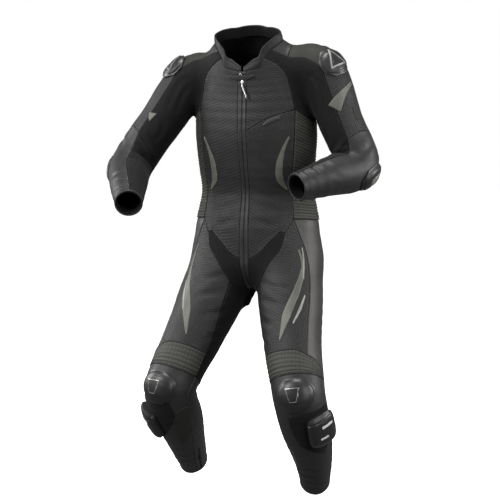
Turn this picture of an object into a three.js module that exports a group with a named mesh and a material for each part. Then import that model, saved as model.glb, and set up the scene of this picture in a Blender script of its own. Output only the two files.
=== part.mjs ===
/*
 * One-piece leather motorcycle race suit, worn form, hollow and open at the neck, cuffs and ankles.
 *
 * Millimetres, +Z up, the front faces -Y and the wearer's left is +X. The origin is the centre of the
 * neck base, where the wearer's shoulders carry the suit.
 *
 * The suit follows one smooth body form, the blend of a trunk, two sleeves and two legs. Seams are
 * curves on that form, and each panel is a thin wall between four seams.
 */
import * as THREE from "three";

// Cloth and seams
const WALL = 2;
const SEAM_GAP = 0.34;
const LAY_GAP = 0.9;

// Rounding where limbs run into the trunk, and where the two legs meet
const LEG_BLEND = 42;
const SLEEVE_BLEND = 26;
const CROTCH_BLEND = 16;

// Smooth steps between two stations of a limb
const STEPS = 4;

/*
 * Stations of the trunk from the neck down to the crotch: centre depth and height, half width,
 * half depth to the front and to the back.
 */
const TRUNK = [
  { x: 0, y: -28, z: 52, out: 68, in: 68, front: 62, back: 62 },
  { x: 0, y: -4, z: 0, out: 78, in: 78, front: 74, back: 72 },
  { x: 0, y: 16, z: -41, out: 141, in: 141, front: 88, back: 92 },
  { x: 0, y: 36, z: -120, out: 172, in: 172, front: 104, back: 112 },
  { x: 0, y: 52, z: -230, out: 187, in: 187, front: 124, back: 122 },
  { x: 0, y: 62, z: -335, out: 181, in: 181, front: 118, back: 116 },
  { x: 0, y: 70, z: -430, out: 175, in: 175, front: 108, back: 110 },
  { x: 0, y: 64, z: -540, out: 194, in: 194, front: 118, back: 126 },
  { x: 0, y: 60, z: -635, out: 188, in: 188, front: 112, back: 122 },
];

/*
 * Stations of a sleeve: inside the chest, shoulder, middle of the upper arm, elbow, middle of the
 * forearm, cuff and a step past the cuff.
 */
const SLEEVE_SIZES = [
  { out: 60, in: 60, front: 60, back: 60 },
  { out: 74, in: 70, front: 72, back: 70 },
  { out: 68, in: 64, front: 66, back: 64 },
  { out: 66, in: 62, front: 66, back: 62 },
  { out: 58, in: 55, front: 57, back: 56 },
  { out: 40, in: 40, front: 40, back: 40 },
  { out: 38, in: 38, front: 38, back: 38 },
];
const SLEEVE_PLACES = {
  right: [
    { x: -105, y: 34, z: -74 },
    { x: -198, y: 36, z: -88 },
    { x: -282, y: -4, z: -213 },
    { x: -358, y: -50, z: -342 },
    { x: -321, y: -165, z: -400 },
    { x: -273, y: -276, z: -452 },
    { x: -253, y: -322, z: -474 },
  ],
  left: [
    { x: 105, y: 34, z: -60 },
    { x: 208, y: 32, z: -69 },
    { x: 271, y: 30, z: -215 },
    { x: 322, y: 28, z: -342 },
    { x: 268, y: -72, z: -376 },
    { x: 203, y: -164, z: -404 },
    { x: 172, y: -208, z: -417 },
  ],
};

/*
 * Stations of a leg: hip, upper thigh, middle thigh, above the knee, knee, calf, low calf, ankle hem
 * and a step past the hem.
 */
const LEG_SIZES = [
  { out: 112, in: 88, front: 104, back: 114 },
  { out: 101, in: 94, front: 98, back: 104 },
  { out: 84, in: 88, front: 90, back: 88 },
  { out: 77, in: 81, front: 82, back: 76 },
  { out: 78, in: 76, front: 80, back: 68 },
  { out: 74, in: 72, front: 66, back: 76 },
  { out: 58, in: 56, front: 54, back: 60 },
  { out: 44, in: 44, front: 42, back: 45 },
  { out: 42, in: 42, front: 40, back: 42 },
];
const LEG_PLACES = {
  right: [
    { x: -92, y: 60, z: -640 },
    { x: -125, y: 2, z: -745 },
    { x: -160, y: -62, z: -860 },
    { x: -190, y: -115, z: -955 },
    { x: -200, y: -135, z: -1020 },
    { x: -196, y: -92, z: -1105 },
    { x: -199, y: -20, z: -1190 },
    { x: -208, y: 54, z: -1262 },
    { x: -215, y: 88, z: -1290 },
  ],
  left: [
    { x: 92, y: 60, z: -640 },
    { x: 122, y: 8, z: -750 },
    { x: 155, y: -50, z: -865 },
    { x: 183, y: -98, z: -962 },
    { x: 195, y: -116, z: -1026 },
    { x: 206, y: -82, z: -1118 },
    { x: 203, y: -10, z: -1215 },
    { x: 188, y: 58, z: -1300 },
    { x: 182, y: 86, z: -1326 },
  ],
};

const SIDES = ["left", "right"];

/** Value of a table column at a fractional station, smoothly through the rows. */
function between(values, s) {
  const last = values.length - 1;
  const i = Math.min(last - 1, Math.max(0, Math.floor(s)));
  const t = s - i;
  const at = (k) => values[Math.min(last, Math.max(0, k))];
  const [a, b, c, d] = [at(i - 1), at(i), at(i + 1), at(i + 2)];
  const slope0 = (c - a) / 2;
  const slope1 = (d - b) / 2;
  const t2 = t * t;
  const t3 = t2 * t;
  return b * (2 * t3 - 3 * t2 + 1) + slope0 * (t3 - 2 * t2 + t) + c * (3 * t2 - 2 * t3) + slope1 * (t3 - t2);
}

/** A limb of the body form: sections with four half sizes along a smooth centreline. */
class Limb {
  constructor(rows, frontHint, hand, cap) {
    this.rows = rows;
    this.last = rows.length - 1;
    this.frontHint = frontHint;
    this.hand = hand;
    this.cap = cap;
    this.samples = [];
    for (let k = 0; k <= this.last * STEPS; k++) this.samples.push(this.section(k / STEPS));
  }

  centre(s) {
    const column = (key) => between(this.rows.map((row) => row[key]), s);
    return new THREE.Vector3(column("x"), column("y"), column("z"));
  }

  section(s) {
    const along = this.centre(s + 0.05).sub(this.centre(s - 0.05)).normalize();
    const front = this.frontHint(along);
    front.addScaledVector(along, -front.dot(along)).normalize();
    const out = new THREE.Vector3().crossVectors(front, along).multiplyScalar(this.hand);
    const half = {};
    for (const key of ["out", "in", "front", "back"]) half[key] = between(this.rows.map((row) => row[key]), s);
    return { centre: this.centre(s), along, front, out, half };
  }

  /** Rough distance from the limb's surface, negative inside. */
  distance(p) {
    let best = Infinity;
    for (let k = 0; k + 1 < this.samples.length; k++) {
      const a = this.samples[k];
      const b = this.samples[k + 1];
      const dx = b.centre.x - a.centre.x;
      const dy = b.centre.y - a.centre.y;
      const dz = b.centre.z - a.centre.z;
      const px = p.x - a.centre.x;
      const py = p.y - a.centre.y;
      const pz = p.z - a.centre.z;
      let t = (px * dx + py * dy + pz * dz) / (dx * dx + dy * dy + dz * dz);
      t = Math.min(1, Math.max(0, t));
      const qx = px - t * dx;
      const qy = py - t * dy;
      const qz = pz - t * dz;
      const blend = (key, axis) => a[key][axis] * (1 - t) + b[key][axis] * t;
      const side = qx * blend("out", "x") + qy * blend("out", "y") + qz * blend("out", "z");
      const fore = qx * blend("front", "x") + qy * blend("front", "y") + qz * blend("front", "z");
      const end = (qx * blend("along", "x") + qy * blend("along", "y") + qz * blend("along", "z")) * this.cap;
      const reach = Math.sqrt(side * side + fore * fore + end * end);
      const half = (key) => a.half[key] * (1 - t) + b.half[key] * t;
      const w = side > 0 ? half("out") : half("in");
      const d = fore > 0 ? half("front") : half("back");
      const flat = Math.hypot(side, fore);
      const radius = flat < 1e-6 ? d : flat / Math.hypot(side / w, fore / d);
      best = Math.min(best, reach - radius);
    }
    return best;
  }
}

/** Smooth minimum of two distances. */
function blendMin(a, b, k) {
  const h = Math.max(k - Math.abs(a - b), 0) / k;
  return Math.min(a, b) - (h * h * k) / 4;
}

function joinRows(places, sizes) {
  return places.map((place, i) => ({ ...place, ...sizes[i] }));
}

function makeLeg(side) {
  const hand = side === "left" ? 1 : -1;
  const turnOut = THREE.MathUtils.degToRad(18);
  const hint = () => new THREE.Vector3(hand * Math.sin(turnOut), -Math.cos(turnOut), 0);
  return new Limb(joinRows(LEG_PLACES[side], LEG_SIZES), hint, hand, 1);
}

/** A sleeve's front is the side of the elbow point, and its out side is the one that faces forward and up. */
function makeSleeve(side) {
  const hand = side === "left" ? -1 : 1;
  const rows = joinRows(SLEEVE_PLACES[side], SLEEVE_SIZES);
  const at = (i) => new THREE.Vector3(rows[i].x, rows[i].y, rows[i].z);
  const upper = at(3).sub(at(1)).normalize();
  const lower = at(5).sub(at(3)).normalize();
  const bend = new THREE.Vector3().crossVectors(upper, lower).normalize();
  const hint = (along) => new THREE.Vector3().crossVectors(along, bend);
  return new Limb(rows, hint, hand, 1);
}

const trunk = new Limb(TRUNK, () => new THREE.Vector3(0, -1, 0), 1, 1.4);
const sleeves = { left: makeSleeve("left"), right: makeSleeve("right") };
const legs = { left: makeLeg("left"), right: makeLeg("right") };

/** Distance from the whole body form. */
function bodyDistance(p) {
  const lower = blendMin(legs.left.distance(p), legs.right.distance(p), CROTCH_BLEND);
  const upper = Math.min(sleeves.left.distance(p), sleeves.right.distance(p));
  return blendMin(blendMin(trunk.distance(p), lower, LEG_BLEND), upper, SLEEVE_BLEND);
}

function gradient(p) {
  const h = 1;
  const g = new THREE.Vector3();
  const q = p.clone();
  for (const axis of ["x", "y", "z"]) {
    q[axis] = p[axis] + h;
    const ahead = bodyDistance(q);
    q[axis] = p[axis] - h;
    g[axis] = (ahead - bodyDistance(q)) / (2 * h);
    q[axis] = p[axis];
  }
  return g;
}

/** Nearest point on the body form along its slope. */
function settle(point) {
  const p = point.clone();
  for (let k = 0; k < 7; k++) {
    const d = bodyDistance(p);
    if (Math.abs(d) < 0.002) break;
    const g = gradient(p);
    p.addScaledVector(g, -d / g.lengthSq());
  }
  return p;
}

function normalAt(p) {
  return gradient(p).normalize();
}

/** Point on the form at a limb's station and angle: 0 is the front, 90 the out side, in degrees. */
function onLimb(limb, s, degrees) {
  const c = limb.section(s);
  const angle = THREE.MathUtils.degToRad(degrees);
  const sin = Math.sin(angle);
  const cos = Math.cos(angle);
  const w = sin > 0 ? c.half.out : c.half.in;
  const d = cos > 0 ? c.half.front : c.half.back;
  const ray = c.out.clone().multiplyScalar(sin * w).addScaledVector(c.front, cos * d);
  const own = ray.length();
  ray.normalize();
  const at = (r) => c.centre.clone().addScaledVector(ray, r);
  let low = own * 0.5;
  let high = low;
  const limit = own * (limb === trunk ? 3 : 1.3);
  while (bodyDistance(at(high)) < 0 && high < limit) {
    low = high;
    high += 4;
  }
  for (let k = 0; k < 20; k++) {
    const middle = (low + high) / 2;
    if (bodyDistance(at(middle)) < 0) low = middle;
    else high = middle;
  }
  return at((low + high) / 2);
}

const DEG = Math.PI / 180;

/** A seam: evenly spaced points on the form along a smooth curve through its marks. */
function seam(marks, count) {
  const curve = new THREE.CatmullRomCurve3(marks.map(settle), false, "centripetal");
  const points = curve.getSpacedPoints(count).map(settle);
  points[0] = settle(marks[0]);
  points[count] = settle(marks[marks.length - 1]);
  return points;
}

/** One polyline from several seams that follow each other. */
function chain(...parts) {
  const line = [];
  for (const part of parts) line.push(...(line.length ? part.slice(1) : part));
  return line;
}

function reversed(line) {
  return [...line].reverse();
}

/** The same polyline with more points, added on its longest straight stretches. */
function refine(line, count) {
  const points = line.map((p) => p.clone());
  while (points.length < count + 1) {
    let longest = 0;
    for (let i = 1; i + 1 < points.length; i++) {
      const here = points[i].distanceTo(points[i + 1]);
      if (here > points[longest].distanceTo(points[longest + 1]) + 1e-6) longest = i;
    }
    points.splice(longest + 1, 0, points[longest].clone().lerp(points[longest + 1], 0.5));
  }
  return points;
}

/** Every stretch of the polyline cut in the same number of equal parts. */
function divide(line, parts) {
  const points = [line[0].clone()];
  for (let i = 0; i + 1 < line.length; i++) {
    for (let k = 1; k <= parts; k++) points.push(line[i].clone().lerp(line[i + 1], k / parts));
  }
  return points;
}

/**
 * Grid of points on the form between four seams. Top and bottom run the same way across, left and
 * right run the same way down.
 */
function fill(top, bottom, left, right) {
  const nu = Math.max(top.length, bottom.length) - 1;
  const nv = Math.max(left.length, right.length) - 1;
  const [t, b, l, r] = [refine(top, nu), refine(bottom, nu), refine(left, nv), refine(right, nv)];
  const grid = [];
  for (let j = 0; j <= nv; j++) {
    const row = [];
    for (let i = 0; i <= nu; i++) {
      if (j === 0) row.push(t[i].clone());
      else if (j === nv) row.push(b[i].clone());
      else if (i === 0) row.push(l[j].clone());
      else if (i === nu) row.push(r[j].clone());
      else {
        const u = i / nu;
        const v = j / nv;
        const p = t[i].clone().multiplyScalar(1 - v).addScaledVector(b[i], v);
        p.addScaledVector(l[j], 1 - u).addScaledVector(r[j], u);
        p.addScaledVector(t[0], -(1 - u) * (1 - v)).addScaledVector(t[nu], -u * (1 - v));
        p.addScaledVector(b[0], -(1 - u) * v).addScaledVector(b[nu], -u * v);
        row.push(settle(p));
      }
    }
    grid.push(row);
  }
  return grid;
}

/** Evens out a grid inside its edges, so that no cell folds over near a corner. */
function evened(grid, rounds = 12) {
  for (let n = 0; n < rounds; n++) {
    const old = grid.map((row) => row.slice());
    for (let j = 1; j + 1 < grid.length; j++) {
      for (let i = 1; i + 1 < grid[0].length; i++) {
        const sum = old[j - 1][i].clone().add(old[j + 1][i]).add(old[j][i - 1]).add(old[j][i + 1]);
        grid[j][i] = settle(sum.multiplyScalar(0.25));
      }
    }
  }
  return grid;
}

/** Moves the edge of a grid inwards by half the seam gap, along the cloth, mitred at its corners. */
function drawIn(grid, normals, gap) {
  const nv = grid.length - 1;
  const nu = grid[0].length - 1;
  const inward = new Map();
  const note = (j, i, side) => {
    const key = j * (nu + 1) + i;
    inward.set(key, [...(inward.get(key) ?? []), side]);
  };
  const stretch = (j0, i0, j1, i1, dj, di) => {
    const a = grid[j0][i0];
    const b = grid[j1][i1];
    const up = normals[j0][i0].clone().add(normals[j1][i1]);
    const side = new THREE.Vector3().crossVectors(b.clone().sub(a), up).normalize();
    const cell = grid[j0 + dj][i0 + di].clone().add(grid[j1 + dj][i1 + di]).sub(a).sub(b);
    if (side.dot(cell) < 0) side.negate();
    note(j0, i0, side);
    note(j1, i1, side);
  };
  for (let i = 0; i < nu; i++) {
    stretch(0, i, 0, i + 1, 1, 0);
    stretch(nv, i, nv, i + 1, -1, 0);
  }
  for (let j = 0; j < nv; j++) {
    stretch(j, 0, j + 1, 0, 0, 1);
    stretch(j, nu, j + 1, nu, 0, -1);
  }
  const moved = grid.map((row) => row.map((p) => p.clone()));
  for (const [key, [a, b]] of inward) {
    const shift = a.clone().add(b).multiplyScalar(gap / 2 / Math.max(0.3, 1 + a.dot(b)));
    moved[Math.floor(key / (nu + 1))][key % (nu + 1)].add(shift);
  }
  return moved;
}

/** Closed solid between an outer and an inner grid of the same size. */
function solid(outer, inner) {
  const nv = outer.length - 1;
  const nu = outer[0].length - 1;
  const width = nu + 1;
  const positions = [];
  for (const grid of [outer, inner]) {
    for (const row of grid) for (const p of row) positions.push(p.x, p.y, p.z);
  }
  const half = (nv + 1) * width;
  const index = [];
  const quad = (a, b, c, d) => index.push(a, b, c, a, c, d);
  for (let j = 0; j < nv; j++) {
    for (let i = 0; i < nu; i++) {
      const [a, b, c, d] = [j * width + i, (j + 1) * width + i, (j + 1) * width + i + 1, j * width + i + 1];
      quad(a, b, c, d);
      index.push(half + a, half + c, half + b, half + a, half + d, half + c);
    }
  }
  for (let i = 0; i < nu; i++) {
    quad(half + i, i, i + 1, half + i + 1);
    const a = nv * width + i;
    quad(a, half + a, half + a + 1, a + 1);
  }
  for (let j = 0; j < nv; j++) {
    const a = j * width;
    quad(half + a, half + a + width, a + width, a);
    const b = j * width + nu;
    quad(b, b + width, half + b + width, half + b);
  }
  const geometry = new THREE.BufferGeometry();
  geometry.setAttribute("position", new THREE.Float32BufferAttribute(positions, 3));
  geometry.setIndex(index);
  if (volume(positions, index) < 0) {
    for (let k = 0; k < index.length; k += 3) [index[k + 1], index[k + 2]] = [index[k + 2], index[k + 1]];
    geometry.setIndex(index);
  }
  geometry.computeVertexNormals();
  return geometry;
}

function volume(positions, index) {
  let sum = 0;
  const at = (k) => new THREE.Vector3(positions[3 * k], positions[3 * k + 1], positions[3 * k + 2]);
  for (let k = 0; k < index.length; k += 3) {
    sum += at(index[k]).dot(at(index[k + 1]).cross(at(index[k + 2])));
  }
  return sum / 6;
}

/** Wall of cloth: a grid on the form, drawn in at its seams, raised by a relief over a plain inside. */
function panel(grid, relief = () => 0, gap = SEAM_GAP) {
  const nv = grid.length - 1;
  const nu = grid[0].length - 1;
  const normals = grid.map((row) => row.map(normalAt));
  const edge = drawIn(grid, normals, gap);
  const outer = edge.map((row, j) => row.map((p, i) => {
    return p.clone().addScaledVector(normals[j][i], relief(i / nu, j / nv, i, j));
  }));
  const inner = edge.map((row, j) => row.map((p, i) => p.clone().addScaledVector(normals[j][i], -WALL)));
  return solid(outer, inner);
}

/** Ribs across a panel: three rows to a rib, the first one in the groove. */
function ribs(height) {
  return (u, v, i, j) => (j % 3 === 0 || u === 0 || u === 1 || v === 1 ? 0 : height);
}

/** A moulded piece that lies on the form: a rounded outline about a place on a limb. */
function cup(limb, { s, angle, length, width, turn = 0, height, edge, square = 1 }, cells = 6) {
  const grid = [];
  const place = onLimb(limb, s, angle);
  const up = normalAt(place);
  const down = limb.section(s).along.clone();
  down.addScaledVector(up, -down.dot(up)).normalize();
  const across = new THREE.Vector3().crossVectors(down, up);
  const cos = Math.cos(turn * DEG);
  const sin = Math.sin(turn * DEG);
  for (let j = 0; j <= cells; j++) {
    const row = [];
    for (let i = 0; i <= cells; i++) {
      const a = (2 * i) / cells - 1;
      const b = (2 * j) / cells - 1;
      const x = (a * Math.sqrt(1 - (square * b * b) / 2) * width) / 2;
      const y = (b * Math.sqrt(1 - (square * a * a) / 2) * length) / 2;
      const p = place.clone().addScaledVector(across, x * cos - y * sin).addScaledVector(down, x * sin + y * cos);
      row.push(settle(p.addScaledVector(up, -6)));
    }
    grid.push(row);
  }
  const normals = grid.map((row) => row.map(normalAt));
  const rise = (i, j) => {
    const a = Math.abs((2 * i) / cells - 1);
    const b = Math.abs((2 * j) / cells - 1);
    const rim = Math.max(a, b);
    return edge + (height - edge) * Math.min(1, (1 - rim) * 2.6) * (1 - 0.25 * rim);
  };
  const outer = grid.map((row, j) => row.map((p, i) => p.clone().addScaledVector(normals[j][i], LAY_GAP + rise(i, j))));
  const inner = grid.map((row, j) => row.map((p, i) => p.clone().addScaledVector(normals[j][i], LAY_GAP)));
  return solid(outer, inner);
}

const suit = new THREE.Group();

const FINISH = {
  leather: { color: 0x3c3a3a, roughness: 0.5, metalness: 0 },
  perforated: { color: 0x393736, roughness: 0.62, metalness: 0 },
  stretch: { color: 0x1c1b1b, roughness: 0.85, metalness: 0 },
  mesh: { color: 0x4b4b46, roughness: 0.7, metalness: 0 },
  grey: { color: 0x4a4846, roughness: 0.5, metalness: 0 },
  trim: { color: 0x787a70, roughness: 0.45, metalness: 0.1 },
  shell: { color: 0x2e2d2d, roughness: 0.35, metalness: 0 },
  metal: { color: 0xa0a0a0, roughness: 0.3, metalness: 0.9 },
};

function add(name, geometry, finish) {
  const mesh = new THREE.Mesh(geometry, new THREE.MeshStandardMaterial(FINISH[finish]));
  mesh.name = name;
  suit.add(mesh);
}

/*
 * Marks on the trunk, one side of it: station and angle from the front. The other side mirrors them.
 */
const MARKS = {
  collarFront: { s: 2.0, angle: 5 },
  collarFrontSide: { s: 1.5, angle: 27 },
  raglanFront: { s: 1.05, angle: 45 },
  yokeFront: { s: 0.82, angle: 62 },
  collarSide: { s: 0.66, angle: 95 },
  raglanBack: { s: 0.62, angle: 130 },
  collarBack: { s: 0.62, angle: 180 },
  zipChest: { s: 4.0, angle: 3.8 },
  zipFoot: { s: 7.9, angle: 4.2 },
  ribsFront: { s: 3.5, angle: 55 },
  armpit: { s: 3.95, angle: 90 },
  ribsBack: { s: 3.8, angle: 122 },
  backMiddle: { s: 5.0, angle: 121 },
  hipFront: { s: 6.72, angle: 48 },
  hipBack: { s: 6.72, angle: 118 },
  bandOuter: { s: 7.12, angle: 38 },
  bandInner: { s: 7.05, angle: 34 },
};

/** Seams of one side of the suit, each a row of points shared by the pieces on both sides of it. */
function seamsOf(side) {
  const hand = side === "left" ? 1 : -1;
  const sleeve = sleeves[side];
  const leg = legs[side];
  const body = (s, angle) => onLimb(trunk, s, hand * angle);
  const mark = (name) => body(MARKS[name].s, MARKS[name].angle);
  const arm = (s, angle) => onLimb(sleeve, s, angle);
  const thigh = (s, angle) => onLimb(leg, s, angle);
  const free = (x, y, z) => settle(new THREE.Vector3(hand * x, y, z));
  const at = {
    yokeA: arm(0.34, 88),
    yokeB: arm(0.34, 18),
    cupA: arm(1.1, 125),
    cupB: arm(1.1, -20),
    elbowA: arm(2.4, 134),
    elbowB: arm(2.5, -5),
    elbowC: arm(2.75, -112),
    cuffA: arm(5, 148),
    cuffB: arm(5, 20),
    cuffC: arm(5, -112),
    zipEnd: free(12, 18, -722),
    crotchFront: free(0, 20, -722),
    crotchBack: free(0, 108, -728),
    innerTop: free(52, -40, -694),
    seatSide: thigh(0.62, 128),
    kneeF: thigh(2.62, 27),
    kneeI: thigh(2.35, -82),
    kneeO: thigh(2.95, 70),
    shinI: thigh(3.12, -88),
    shinO: thigh(3.2, 70),
    shinB: thigh(3.2, 118),
    shinBack: thigh(3.2, 180),
    shinJ: thigh(3.2, -126),
    hemI: thigh(7.0, -62),
    hemO: thigh(7.02, 70),
    hemBack: thigh(6.88, 180),
  };
  return {
    collarFront: seam([mark("collarFront"), mark("collarFrontSide"), mark("raglanFront")], 5),
    collarStretch: seam([mark("raglanFront"), mark("yokeFront")], 2),
    collarYoke: seam([mark("yokeFront"), mark("collarSide"), mark("raglanBack")], 4),
    collarBack: seam([mark("raglanBack"), body(0.62, 154), mark("collarBack")], 4),
    zipChest: seam([mark("collarFront"), body(3, 4.4), mark("zipChest")], 6),
    zipBelly: seam([mark("zipChest"), body(5, 3.9), body(6, 4), body(7, 3.9), mark("zipFoot")], 11),
    zipCrotch: seam([mark("zipFoot"), free(12, -20, -690), at.zipEnd], 3),
    zipBottom: seam([at.zipEnd, at.crotchFront], 1),
    crotch: seam([at.crotchFront, at.crotchBack], 2),
    raglanFront: seam([mark("raglanFront"), body(1.65, 50), body(2.35, 51), body(3, 53), mark("ribsFront")], 6),
    chest: seam([mark("zipChest"), body(3.66, 25), mark("ribsFront")], 5),
    sideFront: seam([mark("ribsFront"), body(4.3, 52), body(5.3, 50), body(6.1, 50), mark("hipFront")], 11),
    armpitFront: seam([mark("ribsFront"), body(3.72, 70), mark("armpit")], 2),
    armpitBack: seam([mark("armpit"), body(3.9, 106), mark("ribsBack")], 2),
    raglanBack: seam([mark("raglanBack"), body(1.5, 142), body(2.5, 130), mark("ribsBack")], 6),
    backUpper: seam([mark("ribsBack"), body(4.2, 122), mark("backMiddle")], 5),
    backLower: seam([mark("backMiddle"), body(6, 120), mark("hipBack")], 6),
    hip: seam([mark("hipFront"), body(6.72, 84), mark("hipBack")], 4),
    hipFront: seam([mark("hipFront"), mark("bandOuter")], 1),
    bandTop: seam([mark("bandOuter"), mark("bandInner")], 1),
    bandInner: seam([mark("bandInner"), body(7.35, 23), body(7.7, 13), mark("zipFoot")], 4),
    bandOuter: seam([mark("bandOuter"), body(7.5, 33), body(7.95, 24), at.innerTop], 5),
    bandEnd: seam([at.innerTop, free(30, -8, -716), at.zipEnd], 3),
    seatSide: seam([mark("hipBack"), body(7.5, 117), at.seatSide], 4),
    seatFold: seam([at.seatSide, thigh(0.85, 168), free(44, 162, -712), at.crotchBack], 5),
    thighFront: seam([mark("hipFront"), thigh(0.38, 38), thigh(1.18, 40), thigh(1.76, 35), at.kneeF], 10),
    thighBack: seam([at.seatSide, thigh(1.3, 122), thigh(2.3, 120), at.shinB], 10),
    thighInner: seam([at.innerTop, thigh(1.3, -66), thigh(1.75, -74), at.kneeI], 8),
    inseam: seam([at.crotchBack, thigh(1.35, -122), thigh(2.3, -124), at.shinJ], 10),
    kneeTop: seam([at.kneeI, thigh(2.4, -50), thigh(2.45, -20), thigh(2.5, 5), at.kneeF], 4),
    kneeTopOuter: seam([at.kneeF, thigh(2.74, 48), at.kneeO], 2),
    kneeOuter: seam([at.kneeO, at.shinO], 1),
    kneeInner: seam([at.kneeI, at.shinI], 3),
    shinTop: seam([at.shinI, thigh(3.16, -30), thigh(3.16, 20), at.shinO], 6),
    shinOuterTop: seam([at.shinO, at.shinB], 2),
    shinBackOuter: seam([at.shinB, at.shinBack], 3),
    shinBackInner: seam([at.shinBack, at.shinJ], 3),
    shinInnerTop: seam([at.shinJ, at.shinI], 2),
    shinInner: seam([at.shinI, thigh(4, -78), thigh(5, -72), thigh(6, -66), at.hemI], 9),
    shinOuter: seam([at.shinO, thigh(4, 72), thigh(5, 74), thigh(6, 72), at.hemO], 9),
    calfBack: seam([at.shinBack, thigh(4, 180), thigh(5, 180), thigh(6, 180), at.hemBack], 9),
    hemFront: seam([at.hemI, thigh(7.14, 0), at.hemO], 5),
    hemOuter: seam([at.hemO, thigh(6.94, 125), at.hemBack], 4),
    hemInner: seam([at.hemBack, thigh(6.94, -120), at.hemI], 4),
    stretchYoke: seam([mark("yokeFront"), at.yokeA], 2),
    stretchMesh: seam([at.yokeA, arm(0.75, 112), at.cupA], 4),
    stretchOuter: seam([at.cupA, arm(1.8, 131), at.elbowA], 6),
    backYoke: seam([mark("raglanBack"), at.yokeB], 3),
    backMesh: seam([at.yokeB, arm(0.72, -14), at.cupB], 4),
    backOuter: seam([at.cupB, arm(1.8, -14), at.elbowB], 6),
    yokeEnd: seam([at.yokeA, arm(0.35, 30), at.yokeB], 4),
    meshEnd: seam([at.cupA, arm(1.1, 80), arm(1.1, 30), at.cupB], 5),
    underarm: seam([mark("armpit"), arm(2.1, -116), at.elbowC], 7),
    elbowOuter: seam([at.elbowA, arm(2.35, 90), arm(2.42, 45), at.elbowB], 6),
    elbowUnder: seam([at.elbowB, arm(2.62, -60), at.elbowC], 4),
    elbowInner: seam([at.elbowC, arm(2.7, -150), arm(2.55, 170), at.elbowA], 5),
    foreA: seam([at.elbowA, arm(3.5, 140), at.cuffA], 8),
    foreB: seam([at.elbowB, arm(3.2, 5), arm(4, 18), at.cuffB], 8),
    foreC: seam([at.elbowC, arm(3.4, -112), arm(4.2, -112), at.cuffC], 8),
    cuffOuter: seam([at.cuffA, arm(5, 84), at.cuffB], 4),
    cuffUnder: seam([at.cuffB, arm(5, -45), at.cuffC], 4),
    cuffInner: seam([at.cuffC, arm(5, -170), at.cuffA], 4),
  };
}

const left = seamsOf("left");
const right = seamsOf("right");

for (const [side, q] of [["left", left], ["right", right]]) {
  const back = reversed;
  add(`side_ribs_${side}`, panel(fill(
    chain(q.armpitFront, q.armpitBack), q.hip,
    divide(q.sideFront, 4), divide(chain(q.backUpper, q.backLower), 4),
  ), ribs(2.4)), "mesh");
  add(`groin_stretch_${side}`, panel(fill(
    q.bandTop, back(q.zipCrotch), chain(q.bandOuter, q.bandEnd), q.bandInner,
  ), undefined, 3 * SEAM_GAP), "stretch");
  add(`yoke_${side}`, panel(fill(q.collarYoke, q.yokeEnd, q.stretchYoke, q.backYoke)), "leather");
  add(`shoulder_mesh_${side}`, panel(fill(q.yokeEnd, q.meshEnd, q.stretchMesh, q.backMesh)), "mesh");
  add(`sleeve_outer_${side}`, panel(fill(q.meshEnd, q.elbowOuter, q.stretchOuter, q.backOuter)), "perforated");
  add(`sleeve_stretch_${side}`, panel(evened(fill(
    chain(back(q.armpitFront), back(q.raglanFront), q.collarStretch), q.elbowInner,
    q.underarm, chain(q.stretchYoke, q.stretchMesh, q.stretchOuter),
  )), undefined, 2 * SEAM_GAP), "stretch");
  add(`sleeve_back_${side}`, panel(evened(fill(
    chain(q.raglanBack, back(q.armpitBack)), q.elbowUnder,
    chain(q.backYoke, q.backMesh, q.backOuter), q.underarm,
  )), undefined, 3 * SEAM_GAP), "leather");
  add(`forearm_outer_${side}`, panel(fill(q.elbowOuter, q.cuffOuter, q.foreA, q.foreB)), "leather");
  add(`forearm_under_${side}`, panel(fill(q.elbowUnder, q.cuffUnder, q.foreB, q.foreC)), "leather");
  add(`forearm_inner_${side}`, panel(fill(q.elbowInner, q.cuffInner, q.foreC, q.foreA), undefined, 3 * SEAM_GAP), "stretch");
  add(`thigh_front_${side}`, panel(fill(
    back(chain(q.hipFront, q.bandOuter)), q.kneeTop, q.thighInner, q.thighFront,
  )), "perforated");
  add(`thigh_outer_${side}`, panel(fill(
    q.hip, chain(q.kneeTopOuter, q.kneeOuter, q.shinOuterTop),
    q.thighFront, chain(q.seatSide, q.thighBack),
  )), "grey");
  add(`thigh_inner_${side}`, panel(evened(fill(
    chain(q.bandEnd, q.zipBottom, q.crotch), back(q.shinInnerTop),
    chain(q.thighInner, q.kneeInner), q.inseam,
  ))), "stretch");
  add(`thigh_back_${side}`, panel(fill(
    q.seatFold, chain(q.shinBackOuter, q.shinBackInner), q.thighBack, q.inseam,
  )), "leather");
  add(`knee_ribs_${side}`, panel(fill(
    chain(q.kneeTop, q.kneeTopOuter), q.shinTop, divide(q.kneeInner, 8), divide(refine(q.kneeOuter, 3), 8),
  ), ribs(2.2)), "mesh");
  add(`shin_front_${side}`, panel(fill(q.shinTop, q.hemFront, q.shinInner, q.shinOuter)), "leather");
  add(`calf_outer_${side}`, panel(fill(
    chain(q.shinOuterTop, q.shinBackOuter), q.hemOuter, q.shinOuter, q.calfBack,
  )), "leather");
  add(`calf_inner_${side}`, panel(fill(
    chain(q.shinBackInner, q.shinInnerTop), q.hemInner, q.calfBack, q.shinInner,
  )), "leather");
}

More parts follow.
